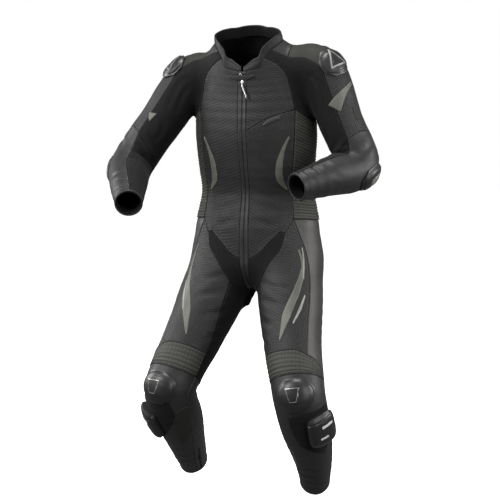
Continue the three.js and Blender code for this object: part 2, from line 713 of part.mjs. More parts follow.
const zipTop = [onLimb(trunk, 2.0, -5), onLimb(trunk, 2.02, 0), onLimb(trunk, 2.0, 5)];
add("front_zip", panel(fill(
  zipTop, chain(right.zipBottom, reversed(left.zipBottom)),
  chain(right.zipChest, right.zipBelly, right.zipCrotch), chain(left.zipChest, left.zipBelly, left.zipCrotch),
), undefined, 2 * SEAM_GAP), "leather");
add("front_right", panel(fill(
  right.collarFront, reversed(chain(right.hipFront, right.bandTop, right.bandInner)),
  chain(right.zipChest, right.zipBelly), chain(right.raglanFront, right.sideFront),
)), "perforated");
add("chest_left", panel(fill(left.collarFront, left.chest, left.zipChest, left.raglanFront)), "perforated");
add("front_left", panel(fill(
  left.chest, reversed(chain(left.hipFront, left.bandTop, left.bandInner)), left.zipBelly, left.sideFront,
)), "perforated");

const backLine = seam([onLimb(trunk, 5, -121), onLimb(trunk, 5, 180), onLimb(trunk, 5, 121)], 8);
const hipLine = seam([onLimb(trunk, 6.72, -118), onLimb(trunk, 6.8, 180), onLimb(trunk, 6.72, 118)], 8);
add("back_upper", panel(fill(
  chain(right.collarBack, reversed(left.collarBack)), backLine,
  chain(right.raglanBack, right.backUpper), chain(left.raglanBack, left.backUpper),
), undefined, 2 * SEAM_GAP), "leather");
add("back_lower", panel(fill(backLine, hipLine, right.backLower, left.backLower)), "leather");
add("seat", panel(fill(
  hipLine, chain(right.seatFold, reversed(left.seatFold)), right.seatSide, left.seatSide,
)), "leather");

/** A flat strip that lies on the form along marks, each with its own width. */
function ribbon(marks, widths, thick, steps = 12) {
  const curve = new THREE.CatmullRomCurve3(marks.map(settle), false, "centripetal");
  const centres = curve.getSpacedPoints(steps).map(settle);
  const outer = [];
  const inner = [];
  centres.forEach((centre, j) => {
    const ahead = centres[Math.min(steps, j + 1)].clone().sub(centres[Math.max(0, j - 1)]);
    const across = new THREE.Vector3().crossVectors(ahead, normalAt(centre)).normalize();
    const width = between(widths, (j / steps) * (widths.length - 1));
    const row = [-0.5, 0, 0.5].map((k) => settle(centre.clone().addScaledVector(across, k * width)));
    outer.push(row.map((p) => p.clone().addScaledVector(normalAt(p), LAY_GAP + thick)));
    inner.push(row.map((p) => p.clone().addScaledVector(normalAt(p), LAY_GAP)));
  });
  return solid(outer, inner);
}

// Hard and laid-on pieces of one sleeve and one leg: place on the limb and size
const SHOULDER_CUP = { s: 1.1, angle: 88, length: 84, width: 104, height: 12, edge: 4 };
const ELBOW_CUP = { s: 3.15, angle: 32, length: 108, width: 84, height: 9, edge: 3 };
const KNEE_CUP = { s: 3.75, angle: -8, length: 92, width: 118, height: 13, edge: 4 };
const KNEE_SLIDER = { s: 4.72, angle: 36, length: 100, width: 88, height: 26, edge: 13 };
const TRIM_THICK = 1.2;
const THIGH_TRIM = [
  { s: 0.1, angle: 22, width: 6 },
  { s: 0.5, angle: 29, width: 14 },
  { s: 1.0, angle: 18, width: 22 },
  { s: 1.6, angle: -5, width: 26 },
  { s: 2.2, angle: -26, width: 4 },
];
const SIDE_TRIM = [
  { s: 4.2, angle: 46, width: 6 },
  { s: 4.6, angle: 39, width: 12 },
  { s: 5.05, angle: 35, width: 21 },
  { s: 5.45, angle: 36, width: 23 },
  { s: 5.85, angle: 44, width: 5 },
];

for (const side of SIDES) {
  const hand = side === "left" ? 1 : -1;
  const widths = (table) => table.map((row) => row.width);
  const onThigh = THIGH_TRIM.map((row) => onLimb(legs[side], row.s, row.angle));
  const onSide = SIDE_TRIM.map((row) => onLimb(trunk, row.s, hand * row.angle));
  add(`shoulder_cup_${side}`, cup(sleeves[side], SHOULDER_CUP), "shell");
  add(`elbow_cup_${side}`, cup(sleeves[side], ELBOW_CUP), "shell");
  add(`knee_cup_${side}`, cup(legs[side], KNEE_CUP), "shell");
  add(`knee_slider_${side}`, cup(legs[side], KNEE_SLIDER), "shell");
  add(`thigh_trim_${side}`, ribbon(onThigh, widths(THIGH_TRIM), TRIM_THICK), "trim");
  add(`side_trim_${side}`, ribbon(onSide, widths(SIDE_TRIM), TRIM_THICK), "trim");
}

// Collar band: stands on the neck seam, and leans in more at the front
const COLLAR = { height: 27, lean: 0.1, frontLean: 0.75, wall: 3, rows: 2 };
const COLLAR_TAB = { s: 2.24, angle: -1, length: 21, width: 84, height: 3, edge: 3, square: 0 };

function collar() {
  const half = (q) => chain(q.collarFront, q.collarStretch, q.collarYoke, q.collarBack);
  const base = chain(half(right), reversed(half(left)));
  const { along, centre } = trunk.section(0.6);
  const outer = [];
  const inner = [];
  for (let j = 0; j <= COLLAR.rows; j++) {
    const rise = 0.4 + (COLLAR.height * j) / COLLAR.rows;
    const line = base.map((p) => {
      const out = p.clone().sub(centre);
      out.addScaledVector(along, -out.dot(along)).normalize();
      const lean = COLLAR.lean + COLLAR.frontLean * Math.max(0, -out.y) ** 3;
      return { out, at: p.clone().addScaledVector(along, -rise).addScaledVector(out, -rise * lean) };
    });
    outer.push(line.map(({ at }) => at));
    inner.push(line.map(({ at, out }) => at.clone().addScaledVector(out, -COLLAR.wall)));
  }
  return solid(outer, inner);
}
add("collar_stand", collar(), "leather");
add("collar_tab", cup(trunk, COLLAR_TAB), "leather");

/*
 * Zip slider under the tab, and its cylindrical pull, which hangs a little to the wearer's left and
 * swings out from the chest.
 */
const SLIDER = { s: 2.52, width: 9, length: 12, thick: 5 };
const PULL = { radius: 3.6, length: 42, sides: 10, neck: 1, tilt: 22, drop: 0.7 };

const sliderPlace = onLimb(trunk, SLIDER.s, 0.5);
const sliderUp = normalAt(sliderPlace);
const sliderAcross = new THREE.Vector3(1, 0, 0).addScaledVector(sliderUp, -sliderUp.x).normalize();
const sliderDown = new THREE.Vector3().crossVectors(sliderAcross, sliderUp).negate();
if (sliderDown.z > 0) sliderDown.negate();

function placed(geometry, x, y, z, origin) {
  geometry.applyMatrix4(new THREE.Matrix4().makeBasis(x, y, z));
  geometry.translate(origin.x, origin.y, origin.z);
  return geometry;
}

const sliderCentre = sliderPlace.clone().addScaledVector(sliderUp, LAY_GAP + SLIDER.thick / 2);
add("zip_slider", placed(
  new THREE.BoxGeometry(SLIDER.width, SLIDER.length, SLIDER.thick),
  new THREE.Vector3().crossVectors(sliderDown, sliderUp), sliderDown, sliderUp, sliderCentre,
), "metal");

const tilt = PULL.tilt * DEG;
const pullDown = sliderDown.clone().multiplyScalar(Math.cos(tilt)).addScaledVector(sliderAcross, Math.sin(tilt));
const pullAxis = new THREE.Vector3().crossVectors(pullDown, sliderUp);
const pullPivot = sliderPlace.clone()
  .addScaledVector(sliderUp, LAY_GAP + PULL.radius + PULL.neck)
  .addScaledVector(sliderDown, SLIDER.length / 2 + PULL.drop);
const pullCentre = pullPivot.clone().addScaledVector(pullDown, PULL.neck + PULL.length / 2);
add("zip_pull", placed(
  new THREE.CylinderGeometry(PULL.radius, PULL.radius, PULL.length, PULL.sides),
  pullAxis, pullDown, sliderUp, pullCentre,
), "metal");

export default suit;
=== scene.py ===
"""Looks of a one-piece leather motorcycle race suit, worn form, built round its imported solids.

The suit's panels are fine shells on the same body form and between the same seams as the solids. Creases,
ribs and seam rolls are moved points of those shells, and each finish is a node material.
Lengths inside the form are millimetres, and meshes are metres.
"""
import logging
import math
from collections.abc import Callable, Sequence
from dataclasses import dataclass, field, replace
from enum import Enum

import bpy
import numpy as np
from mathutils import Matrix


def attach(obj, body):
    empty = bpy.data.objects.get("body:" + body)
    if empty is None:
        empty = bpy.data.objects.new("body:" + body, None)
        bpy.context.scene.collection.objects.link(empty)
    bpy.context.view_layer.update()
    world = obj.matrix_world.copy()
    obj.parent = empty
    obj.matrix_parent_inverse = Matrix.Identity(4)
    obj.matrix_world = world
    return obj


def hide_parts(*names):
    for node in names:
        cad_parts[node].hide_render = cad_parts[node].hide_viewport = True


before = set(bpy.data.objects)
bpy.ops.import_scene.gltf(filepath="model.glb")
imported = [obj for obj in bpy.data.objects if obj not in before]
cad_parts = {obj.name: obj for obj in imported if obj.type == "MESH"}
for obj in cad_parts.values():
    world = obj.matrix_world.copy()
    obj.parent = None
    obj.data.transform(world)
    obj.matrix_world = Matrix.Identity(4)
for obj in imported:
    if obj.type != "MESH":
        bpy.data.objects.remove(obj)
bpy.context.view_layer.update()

LOG = logging.getLogger("race_suit")
Array = np.ndarray
Number = float | int
Pair = tuple[float, float]
Triple = tuple[float, float, float]
Piece = bpy.types.Object

# One millimetre in metres
MM = 0.001

# Millimetres: walls and gaps, roundings between limbs, and the spacing of points
WALL = 1.6
LAY_GAP = 0.9
LEG_BLEND = 42.0
SLEEVE_BLEND = 26.0
CROTCH_BLEND = 16.0
SEAM_SPACING = 4.0
SEAM_STEPS = (0, 1.1, 2.4, 4.4)
COARSE_CELL = 15.0

# Counts: sections of a limb for each station, and rounds that even a coarse patch
STEPS = 4
EVEN_ROUNDS = 12

# Metres: how far an edge distance is stored, and the distance that a piece without a seam has
EDGE_REACH = 0.04
NO_SEAM = 0.02

# A cut piece is this much larger than its panel, and at most this many times as large as its area
CUT_EASE = 1.01
CUT_LIMIT = 2.4

# Stations of each limb: centre x, y, z, then half sizes out, in, front, back
TRUNK = [
    (0, -28, 52, 68, 68, 62, 62),
    (0, -4, 0, 78, 78, 74, 72),
    (0, 16, -41, 141, 141, 88, 92),
    (0, 36, -120, 172, 172, 104, 112),
    (0, 52, -230, 187, 187, 124, 122),
    (0, 62, -335, 181, 181, 118, 116),
    (0, 70, -430, 175, 175, 108, 110),
    (0, 64, -540, 194, 194, 118, 126),
    (0, 60, -635, 188, 188, 112, 122),
]
SLEEVE_SIZES = [
    (60, 60, 60, 60),
    (74, 70, 72, 70),
    (68, 64, 66, 64),
    (66, 62, 66, 62),
    (58, 55, 57, 56),
    (40, 40, 40, 40),
    (38, 38, 38, 38),
]
SLEEVE_PLACES = {
    "right": [
        (-105, 34, -74), (-198, 36, -88), (-282, -4, -213), (-358, -50, -342),
        (-321, -165, -400), (-273, -276, -452), (-253, -322, -474),
    ],
    "left": [
        (105, 34, -60), (208, 32, -69), (271, 30, -215), (322, 28, -342),
        (268, -72, -376), (203, -164, -404), (172, -208, -417),
    ],
}
LEG_SIZES = [
    (112, 88, 104, 114),
    (101, 94, 98, 104),
    (84, 88, 90, 88),
    (77, 81, 82, 76),
    (78, 76, 80, 68),
    (74, 72, 66, 76),
    (58, 56, 54, 60),
    (44, 44, 42, 45),
    (42, 42, 40, 42),
]
LEG_PLACES = {
    "right": [
        (-92, 60, -640), (-125, 2, -745), (-160, -62, -860), (-190, -115, -955), (-200, -135, -1020),
        (-196, -92, -1105), (-199, -20, -1190), (-208, 54, -1262), (-215, 88, -1290),
    ],
    "left": [
        (92, 60, -640), (122, 8, -750), (155, -50, -865), (183, -98, -962), (195, -116, -1026),
        (206, -82, -1118), (203, -10, -1215), (188, 58, -1300), (182, 86, -1326),
    ],
}


class Side(Enum):
    """The wearer's side, with the sign of its x."""

    LEFT = 1
    RIGHT = -1

    @property
    def word(self) -> str:
        """The side's name as nodes carry it."""
        return self.name.lower()


def unit(v: Array) -> Array:
    """Vectors along the last axis, made one long."""
    return v / np.maximum(np.linalg.norm(v, axis=-1, keepdims=True), 1e-12)


def between(rows: Array, s: float) -> Array:
    """Table row at a fractional station, smoothly through the rows.

    Args:
        rows: One row for each station.
        s: Station.

    Returns:
        The row there.
    """
    last = len(rows) - 1
    i = min(last - 1, max(0, math.floor(s)))
    t = s - i
    a, b, c, d = (rows[min(last, max(0, k))] for k in range(i - 1, i + 3))
    start, end = (c - a) / 2, (d - b) / 2
    rise = t * t * (3 - 2 * t)
    return b * (1 - rise) + c * rise + start * (t - 2 * t * t + t**3) + end * (t**3 - t * t)


@dataclass
class Section:
    """Cross-section of a limb: centre, axes and half sizes."""

    centre: Array
    along: Array
    front: Array
    out: Array
    half: Array


class Limb:
    """A limb of the body form: sections with four half sizes along a smooth centreline."""

    REACH = 110.0

    def __init__(self, rows: Array, hint: Callable[[Array], Array], hand: int, cap: float) -> None:
        """Works out the limb's sections.

        Args:
            rows: Stations with centre and half sizes.
            hint: Rough front direction for a direction along the limb.
            hand: Sign that turns the out side outwards.
            cap: How blunt the limb's ends are.
        """
        self.rows, self.hint, self.hand, self.cap = rows, hint, hand, cap
        self.last = len(rows) - 1
        cuts = [self.section(k / STEPS) for k in range(self.last * STEPS + 1)]
        keys = ("centre", "along", "front", "out", "half")
        stack = {key: np.array([getattr(cut, key) for cut in cuts]) for key in keys}
        self.start = {key: value[:-1] for key, value in stack.items()}
        self.end = {key: value[1:] for key, value in stack.items()}
        self.run = self.end["centre"] - self.start["centre"]
        reach = self.REACH + stack["half"].max()
        self.low, self.high = stack["centre"].min(0) - reach, stack["centre"].max(0) + reach

    def centre(self, s: float) -> Array:
        """Point of the centreline at a station."""
        return between(self.rows, s)[:3]

    def section(self, s: float) -> Section:
        """Cross-section at a station.

        Args:
            s: Station.

        Returns:
            The section.
        """
        along = unit(self.centre(s + 0.05) - self.centre(s - 0.05))
        front = self.hint(along)
        front = unit(front - along * front.dot(along))
        out = np.cross(front, along) * self.hand
        row = between(self.rows, s)
        return Section(row[:3], along, front, out, row[3:])

    def distance(self, p: Array) -> Array:
        """Rough distance of points from the limb's surface, negative inside.

        Args:
            p: Points, one a row.

        Returns:
            Their distances.
        """
        result = np.full(len(p), 900.0)
        near = np.all((p > self.low) & (p < self.high), axis=1)
        for part in np.array_split(np.flatnonzero(near), max(1, near.sum() // 6000)):
            if len(part):
                result[part] = self._near(p[part])
        return result

    def _near(self, p: Array) -> Array:
        """Distances of points that lie near the limb.

        Args:
            p: Points, one a row.

        Returns:
            Their distances.
        """
        rel = p[:, None, :] - self.start["centre"]
        t = np.einsum("nkj,kj->nk", rel, self.run) / (self.run**2).sum(1)
        t = np.clip(t, 0, 1)
        q = rel - t[..., None] * self.run

        def mix(key: str) -> Array:
            """Offsets of the points along an axis of the sections."""
            low = np.einsum("nkj,kj->nk", q, self.start[key])
            high = np.einsum("nkj,kj->nk", q, self.end[key])
            return low * (1 - t) + high * t

        def half(column: int) -> Array:
            """Half size of the sections on one of their four sides."""
            return self.start["half"][:, column] * (1 - t) + self.end["half"][:, column] * t

        side, fore, end = mix("out"), mix("front"), mix("along") * self.cap
        w = np.where(side > 0, half(0), half(1))
        d = np.where(fore > 0, half(2), half(3))
        flat = np.hypot(side, fore)
        radius = np.where(flat < 1e-6, d, flat / np.maximum(np.hypot(side / w, fore / d), 1e-9))
        return (np.sqrt(flat**2 + end**2) - radius).min(1)


def blend_min(a: Array, b: Array, k: float) -> Array:
    """Smooth minimum of two distances, rounded over k."""
    h = np.maximum(k - np.abs(a - b), 0) / k
    return np.minimum(a, b) - h * h * k / 4


class BodyForm:
    """The general worn form that the suit follows: a trunk, two sleeves and two legs, blended."""

    def __init__(self) -> None:
        """Makes the limbs from their tables."""
        forward = np.array([0.0, -1.0, 0.0])
        self.trunk = Limb(np.array(TRUNK, float), lambda along: forward.copy(), 1, 1.4)
        self.sleeves = {side: self._sleeve(side) for side in Side}
        self.legs = {side: self._leg(side) for side in Side}

    @staticmethod
    def _sleeve(side: Side) -> Limb:
        """A sleeve, whose front is the side of the elbow point.

        Args:
            side: The wearer's side.

        Returns:
            The limb.
        """
        rows = np.hstack([np.array(SLEEVE_PLACES[side.word], float), np.array(SLEEVE_SIZES, float)])
        upper = unit(rows[3, :3] - rows[1, :3])
        lower = unit(rows[5, :3] - rows[3, :3])
        bend = unit(np.cross(upper, lower))
        return Limb(rows, lambda along: np.cross(along, bend), -side.value, 1)

    @staticmethod
    def _leg(side: Side) -> Limb:
        """A leg, whose front is turned out a little.

        Args:
            side: The wearer's side.

        Returns:
            The limb.
        """
        rows = np.hstack([np.array(LEG_PLACES[side.word], float), np.array(LEG_SIZES, float)])
        turn = math.radians(18)
        front = np.array([side.value * math.sin(turn), -math.cos(turn), 0])
        return Limb(rows, lambda along: front.copy(), side.value, 1)

    def distance(self, p: Array) -> Array:
        """Distances of points from the whole form.

        Args:
            p: Points, one a row.

        Returns:
            Their distances, negative inside.
        """
        lower = blend_min(*(self.legs[side].distance(p) for side in Side), CROTCH_BLEND)
        upper = np.minimum(*(self.sleeves[side].distance(p) for side in Side))
        return blend_min(blend_min(self.trunk.distance(p), lower, LEG_BLEND), upper, SLEEVE_BLEND)

    def slope(self, p: Array, h: float = 0.6) -> Array:
        """Slope of the distance at points.

        Args:
            p: Points, one a row.
            h: Step either way along each axis.

        Returns:
            The slopes, one a row.
        """
        g = np.empty_like(p)
        for axis in range(3):
            step = np.zeros(3)
            step[axis] = h
            g[:, axis] = (self.distance(p + step) - self.distance(p - step)) / (2 * h)
        return g

    def settle(self, points: Array, rounds: int = 3) -> Array:
        """Nearest points on the form along its slope.

        Args:
            points: Points near the form.
            rounds: How often each point is moved.

        Returns:
            The moved points.
        """
        p = np.array(points, float).reshape(-1, 3)
        for _ in range(rounds):
            d = self.distance(p)
            g = self.slope(p)
            p = p - g * (d / np.maximum((g**2).sum(1), 1e-6))[:, None]
        return p.reshape(np.shape(points))

    def normal(self, points: Array) -> Array:
        """Outward directions of the form at points."""
        p = np.array(points, float).reshape(-1, 3)
        return unit(self.slope(p)).reshape(np.shape(points))

    def on(self, limb: Limb, s: float, degrees: float) -> Array:
        """Point on the form at a limb's station and angle: 0 is the front, 90 the out side.

        Args:
            limb: The limb.
            s: Station along it.
            degrees: Angle round it.

        Returns:
            The point.
        """
        cut = limb.section(s)
        sin, cos = math.sin(math.radians(degrees)), math.cos(math.radians(degrees))
        w = cut.half[0] if sin > 0 else cut.half[1]
        d = cut.half[2] if cos > 0 else cut.half[3]
        ray = cut.out * sin * w + cut.front * cos * d
        own = np.linalg.norm(ray)
        ray = ray / own
        limit = own * (3 if limb is self.trunk else 1.3)
        r = np.append(np.arange(own * 0.5, limit, 4.0), limit)
        for _ in range(2):
            outside = self.distance(cut.centre + r[:, None] * ray) >= 0
            k = int(np.argmax(outside)) if outside.any() else len(r) - 1
            r = np.linspace(r[max(0, k - 1)], r[k], 40)
        return cut.centre + ray * r[-1]


FORM = BodyForm()


def smooth_line(points: Array, count: int) -> Array:
    """Evenly spaced points on a centripetal curve through points.

    Args:
        points: Points that the curve passes.
        count: Number of steps.

    Returns:
        The points of the curve, count + 1 of them.
    """
    p = np.vstack([2 * points[0] - points[1], points, 2 * points[-1] - points[-2]])
    pieces = []
    for i in range(1, len(p) - 2):
        x0, x1, x2, x3 = p[i - 1 : i + 3]
        d0, d1, d2 = (max(np.linalg.norm(b - a) ** 0.5, 1e-3) for a, b in ((x0, x1), (x1, x2), (x2, x3)))
        m1 = ((x1 - x0) / d0 - (x2 - x0) / (d0 + d1) + (x2 - x1) / d1) * d1
        m2 = ((x2 - x1) / d1 - (x3 - x1) / (d1 + d2) + (x3 - x2) / d2) * d1
        t = np.linspace(0, 1, 40, endpoint=i == len(p) - 3)[:, None]
        pieces.append(x1 + m1 * t + (3 * (x2 - x1) - 2 * m1 - m2) * t**2 + (2 * (x1 - x2) + m1 + m2) * t**3)
    return spaced(np.vstack(pieces), np.linspace(0, 1, count + 1))


def spaced(line: Array, fractions: Array) -> Array:
    """Points of a polyline at fractions of its length."""
    s = np.append(0, np.cumsum(np.linalg.norm(np.diff(line, axis=0), axis=1)))
    return np.stack([np.interp(fractions * s[-1], s, line[:, k]) for k in range(3)], axis=1)


def line_length(line: Array) -> float:
    """Length of a polyline."""
    return float(np.linalg.norm(np.diff(line, axis=0), axis=1).sum())


def seam(marks: Sequence[Array]) -> Array:
    """A seam: close points on the form along a smooth curve through marks.

    Args:
        marks: Points near the form.

    Returns:
        The seam's points.
    """
    points = FORM.settle(np.array(marks))
    count = max(4, round(line_length(points) / SEAM_SPACING))
    return FORM.settle(smooth_line(points, count), 2)


# Marks on the trunk, one side of it: station and angle from the front
MARKS = {
    "collar_front": (2.0, 5),
    "collar_front_side": (1.5, 27),
    "raglan_front": (1.05, 45),
    "yoke_front": (0.82, 62),
    "collar_side": (0.66, 95),
    "raglan_back": (0.62, 130),
    "collar_back": (0.62, 180),
    "zip_chest": (4.0, 3.8),
    "zip_foot": (7.9, 4.2),
    "ribs_front": (3.5, 55),
    "armpit": (3.95, 90),
    "ribs_back": (3.8, 122),
    "back_middle": (5.0, 121),
    "hip_front": (6.72, 48),
    "hip_back": (6.72, 118),
    "band_outer": (7.12, 38),
    "band_inner": (7.05, 34),
}


def seams_of(side: Side) -> dict[str, Array]:
    """Seams of one side of the suit, each shared by the pieces on both sides of it.

    Args:
        side: The wearer's side.

    Returns:
        A line of points for each seam.
    """

    def body(s: float, angle: float) -> Array:
        """Point on the trunk, with the angle towards this side."""
        return FORM.on(FORM.trunk, s, side.value * angle)

    def arm(s: float, angle: float) -> Array:
        """Point on this side's sleeve."""
        return FORM.on(FORM.sleeves[side], s, angle)

    def leg(s: float, angle: float) -> Array:
        """Point on this side's leg."""
        return FORM.on(FORM.legs[side], s, angle)

    def free(x: float, y: float, z: float) -> Array:
        """Point of the form near a place given by its coordinates."""
        return FORM.settle(np.array([side.value * x, y, z], float))

    zip_end, crotch_front, crotch_back = free(12, 18, -722), free(0, 20, -722), free(0, 108, -728)
    inner_top, seat_side = free(52, -40, -694), leg(0.62, 128)
    yoke_a, yoke_b, cup_a, cup_b = arm(0.34, 88), arm(0.34, 18), arm(1.1, 125), arm(1.1, -20)
    elbow_a, elbow_b, elbow_c = arm(2.4, 134), arm(2.5, -5), arm(2.75, -112)
    cuff_a, cuff_b, cuff_c = arm(5, 148), arm(5, 20), arm(5, -112)
    knee_f, knee_i, knee_o = leg(2.62, 27), leg(2.35, -82), leg(2.95, 70)
    shin_i, shin_o, shin_b = leg(3.12, -88), leg(3.2, 70), leg(3.2, 118)
    shin_back, shin_j = leg(3.2, 180), leg(3.2, -126)
    hem_i, hem_o, hem_back = leg(7.0, -62), leg(7.02, 70), leg(6.88, 180)
    marks = {
        "collar_front": ["collar_front", "collar_front_side", "raglan_front"],
        "collar_stretch": ["raglan_front", "yoke_front"],
        "collar_yoke": ["yoke_front", "collar_side", "raglan_back"],
        "collar_back": ["raglan_back", body(0.62, 154), "collar_back"],
        "zip_chest": ["collar_front", body(3, 4.4), "zip_chest"],
        "zip_belly": ["zip_chest", body(5, 3.9), body(6, 4), body(7, 3.9), "zip_foot"],
        "zip_crotch": ["zip_foot", free(12, -20, -690), zip_end],
        "zip_bottom": [zip_end, crotch_front],
        "crotch": [crotch_front, crotch_back],
        "raglan_front": [
            "raglan_front", body(1.65, 50), body(2.35, 51), body(3, 53), "ribs_front",
        ],
        "chest": ["zip_chest", body(3.66, 25), "ribs_front"],
        "side_front": ["ribs_front", body(4.3, 52), body(5.3, 50), body(6.1, 50), "hip_front"],
        "armpit_front": ["ribs_front", body(3.72, 70), "armpit"],
        "armpit_back": ["armpit", body(3.9, 106), "ribs_back"],
        "raglan_back": ["raglan_back", body(1.5, 142), body(2.5, 130), "ribs_back"],
        "back_upper": ["ribs_back", body(4.2, 122), "back_middle"],
        "back_lower": ["back_middle", body(6, 120), "hip_back"],
        "hip": ["hip_front", body(6.72, 84), "hip_back"],
        "hip_front": ["hip_front", "band_outer"],
        "band_top": ["band_outer", "band_inner"],
        "band_inner": ["band_inner", body(7.35, 23), body(7.7, 13), "zip_foot"],
        "band_outer": ["band_outer", body(7.5, 33), body(7.95, 24), inner_top],
        "band_end": [inner_top, free(30, -8, -716), zip_end],
        "seat_side": ["hip_back", body(7.5, 117), seat_side],
        "seat_fold": [seat_side, leg(0.85, 168), free(44, 162, -712), crotch_back],
        "thigh_front": ["hip_front", leg(0.38, 38), leg(1.18, 40), leg(1.76, 35), knee_f],
        "thigh_back": [seat_side, leg(1.3, 122), leg(2.3, 120), shin_b],
        "thigh_inner": [inner_top, leg(1.3, -66), leg(1.75, -74), knee_i],
        "inseam": [crotch_back, leg(1.35, -122), leg(2.3, -124), shin_j],
        "knee_top": [knee_i, leg(2.4, -50), leg(2.45, -20), leg(2.5, 5), knee_f],
        "knee_top_outer": [knee_f, leg(2.74, 48), knee_o],
        "knee_outer": [knee_o, shin_o],
        "knee_inner": [knee_i, shin_i],
        "shin_top": [shin_i, leg(3.16, -30), leg(3.16, 20), shin_o],
        "shin_outer_top": [shin_o, shin_b],
        "shin_back_outer": [shin_b, shin_back],
        "shin_back_inner": [shin_back, shin_j],
        "shin_inner_top": [shin_j, shin_i],
        "shin_inner": [shin_i, leg(4, -78), leg(5, -72), leg(6, -66), hem_i],
        "shin_outer": [shin_o, leg(4, 72), leg(5, 74), leg(6, 72), hem_o],
        "calf_back": [shin_back, leg(4, 180), leg(5, 180), leg(6, 180), hem_back],
        "hem_front": [hem_i, leg(7.14, 0), hem_o],
        "hem_outer": [hem_o, leg(6.94, 125), hem_back],
        "hem_inner": [hem_back, leg(6.94, -120), hem_i],
        "stretch_yoke": ["yoke_front", yoke_a],
        "stretch_mesh": [yoke_a, arm(0.75, 112), cup_a],
        "stretch_outer": [cup_a, arm(1.8, 131), elbow_a],
        "back_yoke": ["raglan_back", yoke_b],
        "back_mesh": [yoke_b, arm(0.72, -14), cup_b],
        "back_outer": [cup_b, arm(1.8, -14), elbow_b],
        "yoke_end": [yoke_a, arm(0.35, 30), yoke_b],
        "mesh_end": [cup_a, arm(1.1, 80), arm(1.1, 30), cup_b],
        "underarm": ["armpit", arm(2.1, -116), elbow_c],
        "elbow_outer": [elbow_a, arm(2.35, 90), arm(2.42, 45), elbow_b],
        "elbow_under": [elbow_b, arm(2.62, -60), elbow_c],
        "elbow_inner": [elbow_c, arm(2.7, -150), arm(2.55, 170), elbow_a],
        "fore_a": [elbow_a, arm(3.5, 140), cuff_a],
        "fore_b": [elbow_b, arm(3.2, 5), arm(4, 18), cuff_b],
        "fore_c": [elbow_c, arm(3.4, -112), arm(4.2, -112), cuff_c],
        "cuff_outer": [cuff_a, arm(5, 84), cuff_b],
        "cuff_under": [cuff_b, arm(5, -45), cuff_c],
        "cuff_inner": [cuff_c, arm(5, -170), cuff_a],
    }
    named = {name: body(*place) for name, place in MARKS.items()}
    return {
        name: seam([named[point] if isinstance(point, str) else point for point in points])
        for name, points in marks.items()
    }


def chain(seams: dict[str, Array], names: Sequence[str]) -> Array:
    """One line from several seams, each taken backwards where its name has a minus.

    Args:
        seams: The seams of one side.
        names: Names of seams that follow each other.

    Returns:
        Their points in one line.
    """
    lines = [seams[name[1:]][::-1] if name.startswith("-") else seams[name] for name in names]
    return np.vstack([lines[0]] + [line[1:] for line in lines[1:]])


def make_object(name: str, vertices: Array, faces: Sequence[Sequence[int]]) -> Piece:
    """A mesh object from points in millimetres, linked to the scene and smooth.

    Args:
        name: The piece's name.
        vertices: Points in millimetres, one a row.
        faces: Corners of each face.

    Returns:
        The new object.
    """
    mesh = bpy.data.meshes.new(name)
    mesh.from_pydata((np.asarray(vertices) * MM).tolist(), [], faces)
    mesh.validate()
    mesh.polygons.foreach_set("use_smooth", np.ones(len(mesh.polygons), bool))
    mesh.set_sharp_from_angle(angle=math.radians(50))
    obj = bpy.data.objects.new(name, mesh)
    bpy.context.scene.collection.objects.link(obj)
    return obj


def points_of(obj: Piece) -> Array:
    """Points of a piece's mesh in metres, one a row.

    Args:
        obj: The piece.

    Returns:
        Its points.
    """
    co = np.empty(len(obj.data.vertices) * 3)
    obj.data.vertices.foreach_get("co", co)
    return co.reshape(-1, 3)


def move_points(obj: Piece, points: Array) -> None:
    """Gives a piece's mesh new points in metres."""
    obj.data.vertices.foreach_set("co", points.ravel())
    obj.data.update()


def fix_outward(obj: Piece) -> None:
    """Turns a closed mesh so that its faces point outwards.

    Args:
        obj: The piece.
    """
    co = points_of(obj)
    obj.data.calc_loop_triangles()
    a, b, c = (co[[t.vertices[k] for t in obj.data.loop_triangles]] for k in range(3))
    if np.einsum("ij,ij->i", a, np.cross(b, c)).sum() < 0:
        obj.data.flip_normals()


def note(obj: Piece, name: str, values: Array) -> None:
    """Stores a number for each vertex, for the finish to read."""
    attribute = obj.data.attributes.new(name, "FLOAT", "POINT")
    attribute.data.foreach_set("value", values.astype(np.float32))


def line_inside(obj: Piece, faces: Array) -> None:
    """Gives the plain lining to some faces, and leaves the first material to the finish.

    Args:
        obj: The piece.
        faces: Numbers of the faces on its inside.
    """
    obj.data.materials.append(None)
    obj.data.materials.append(LINING.material())
    index = np.zeros(len(obj.data.polygons), np.int32)
    index[faces] = 1
    obj.data.polygons.foreach_set("material_index", index)


def finish_piece(obj: Piece, finish: "Finish", nodes: Sequence[str] = (), body: str = "suit") -> Piece:
    """Dresses a piece, ties it to its body and hides the imported parts that it stands for.

    Args:
        obj: The piece.
        finish: Its finish, which knows its slot.
        nodes: Nodes that it replaces.
        body: The body that it rides on.

    Returns:
        The same piece.
    """
    if obj.data.materials:
        obj.data.materials[0] = finish.material()
    else:
        obj.data.materials.append(finish.material())
    if "edge" not in obj.data.attributes:
        note(obj, "edge", np.full(len(obj.data.vertices), NO_SEAM))
    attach(obj, body)
    if nodes:
        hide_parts(*nodes)
    LOG.info("%s: %d faces", obj.name, len(obj.data.polygons))
    return obj


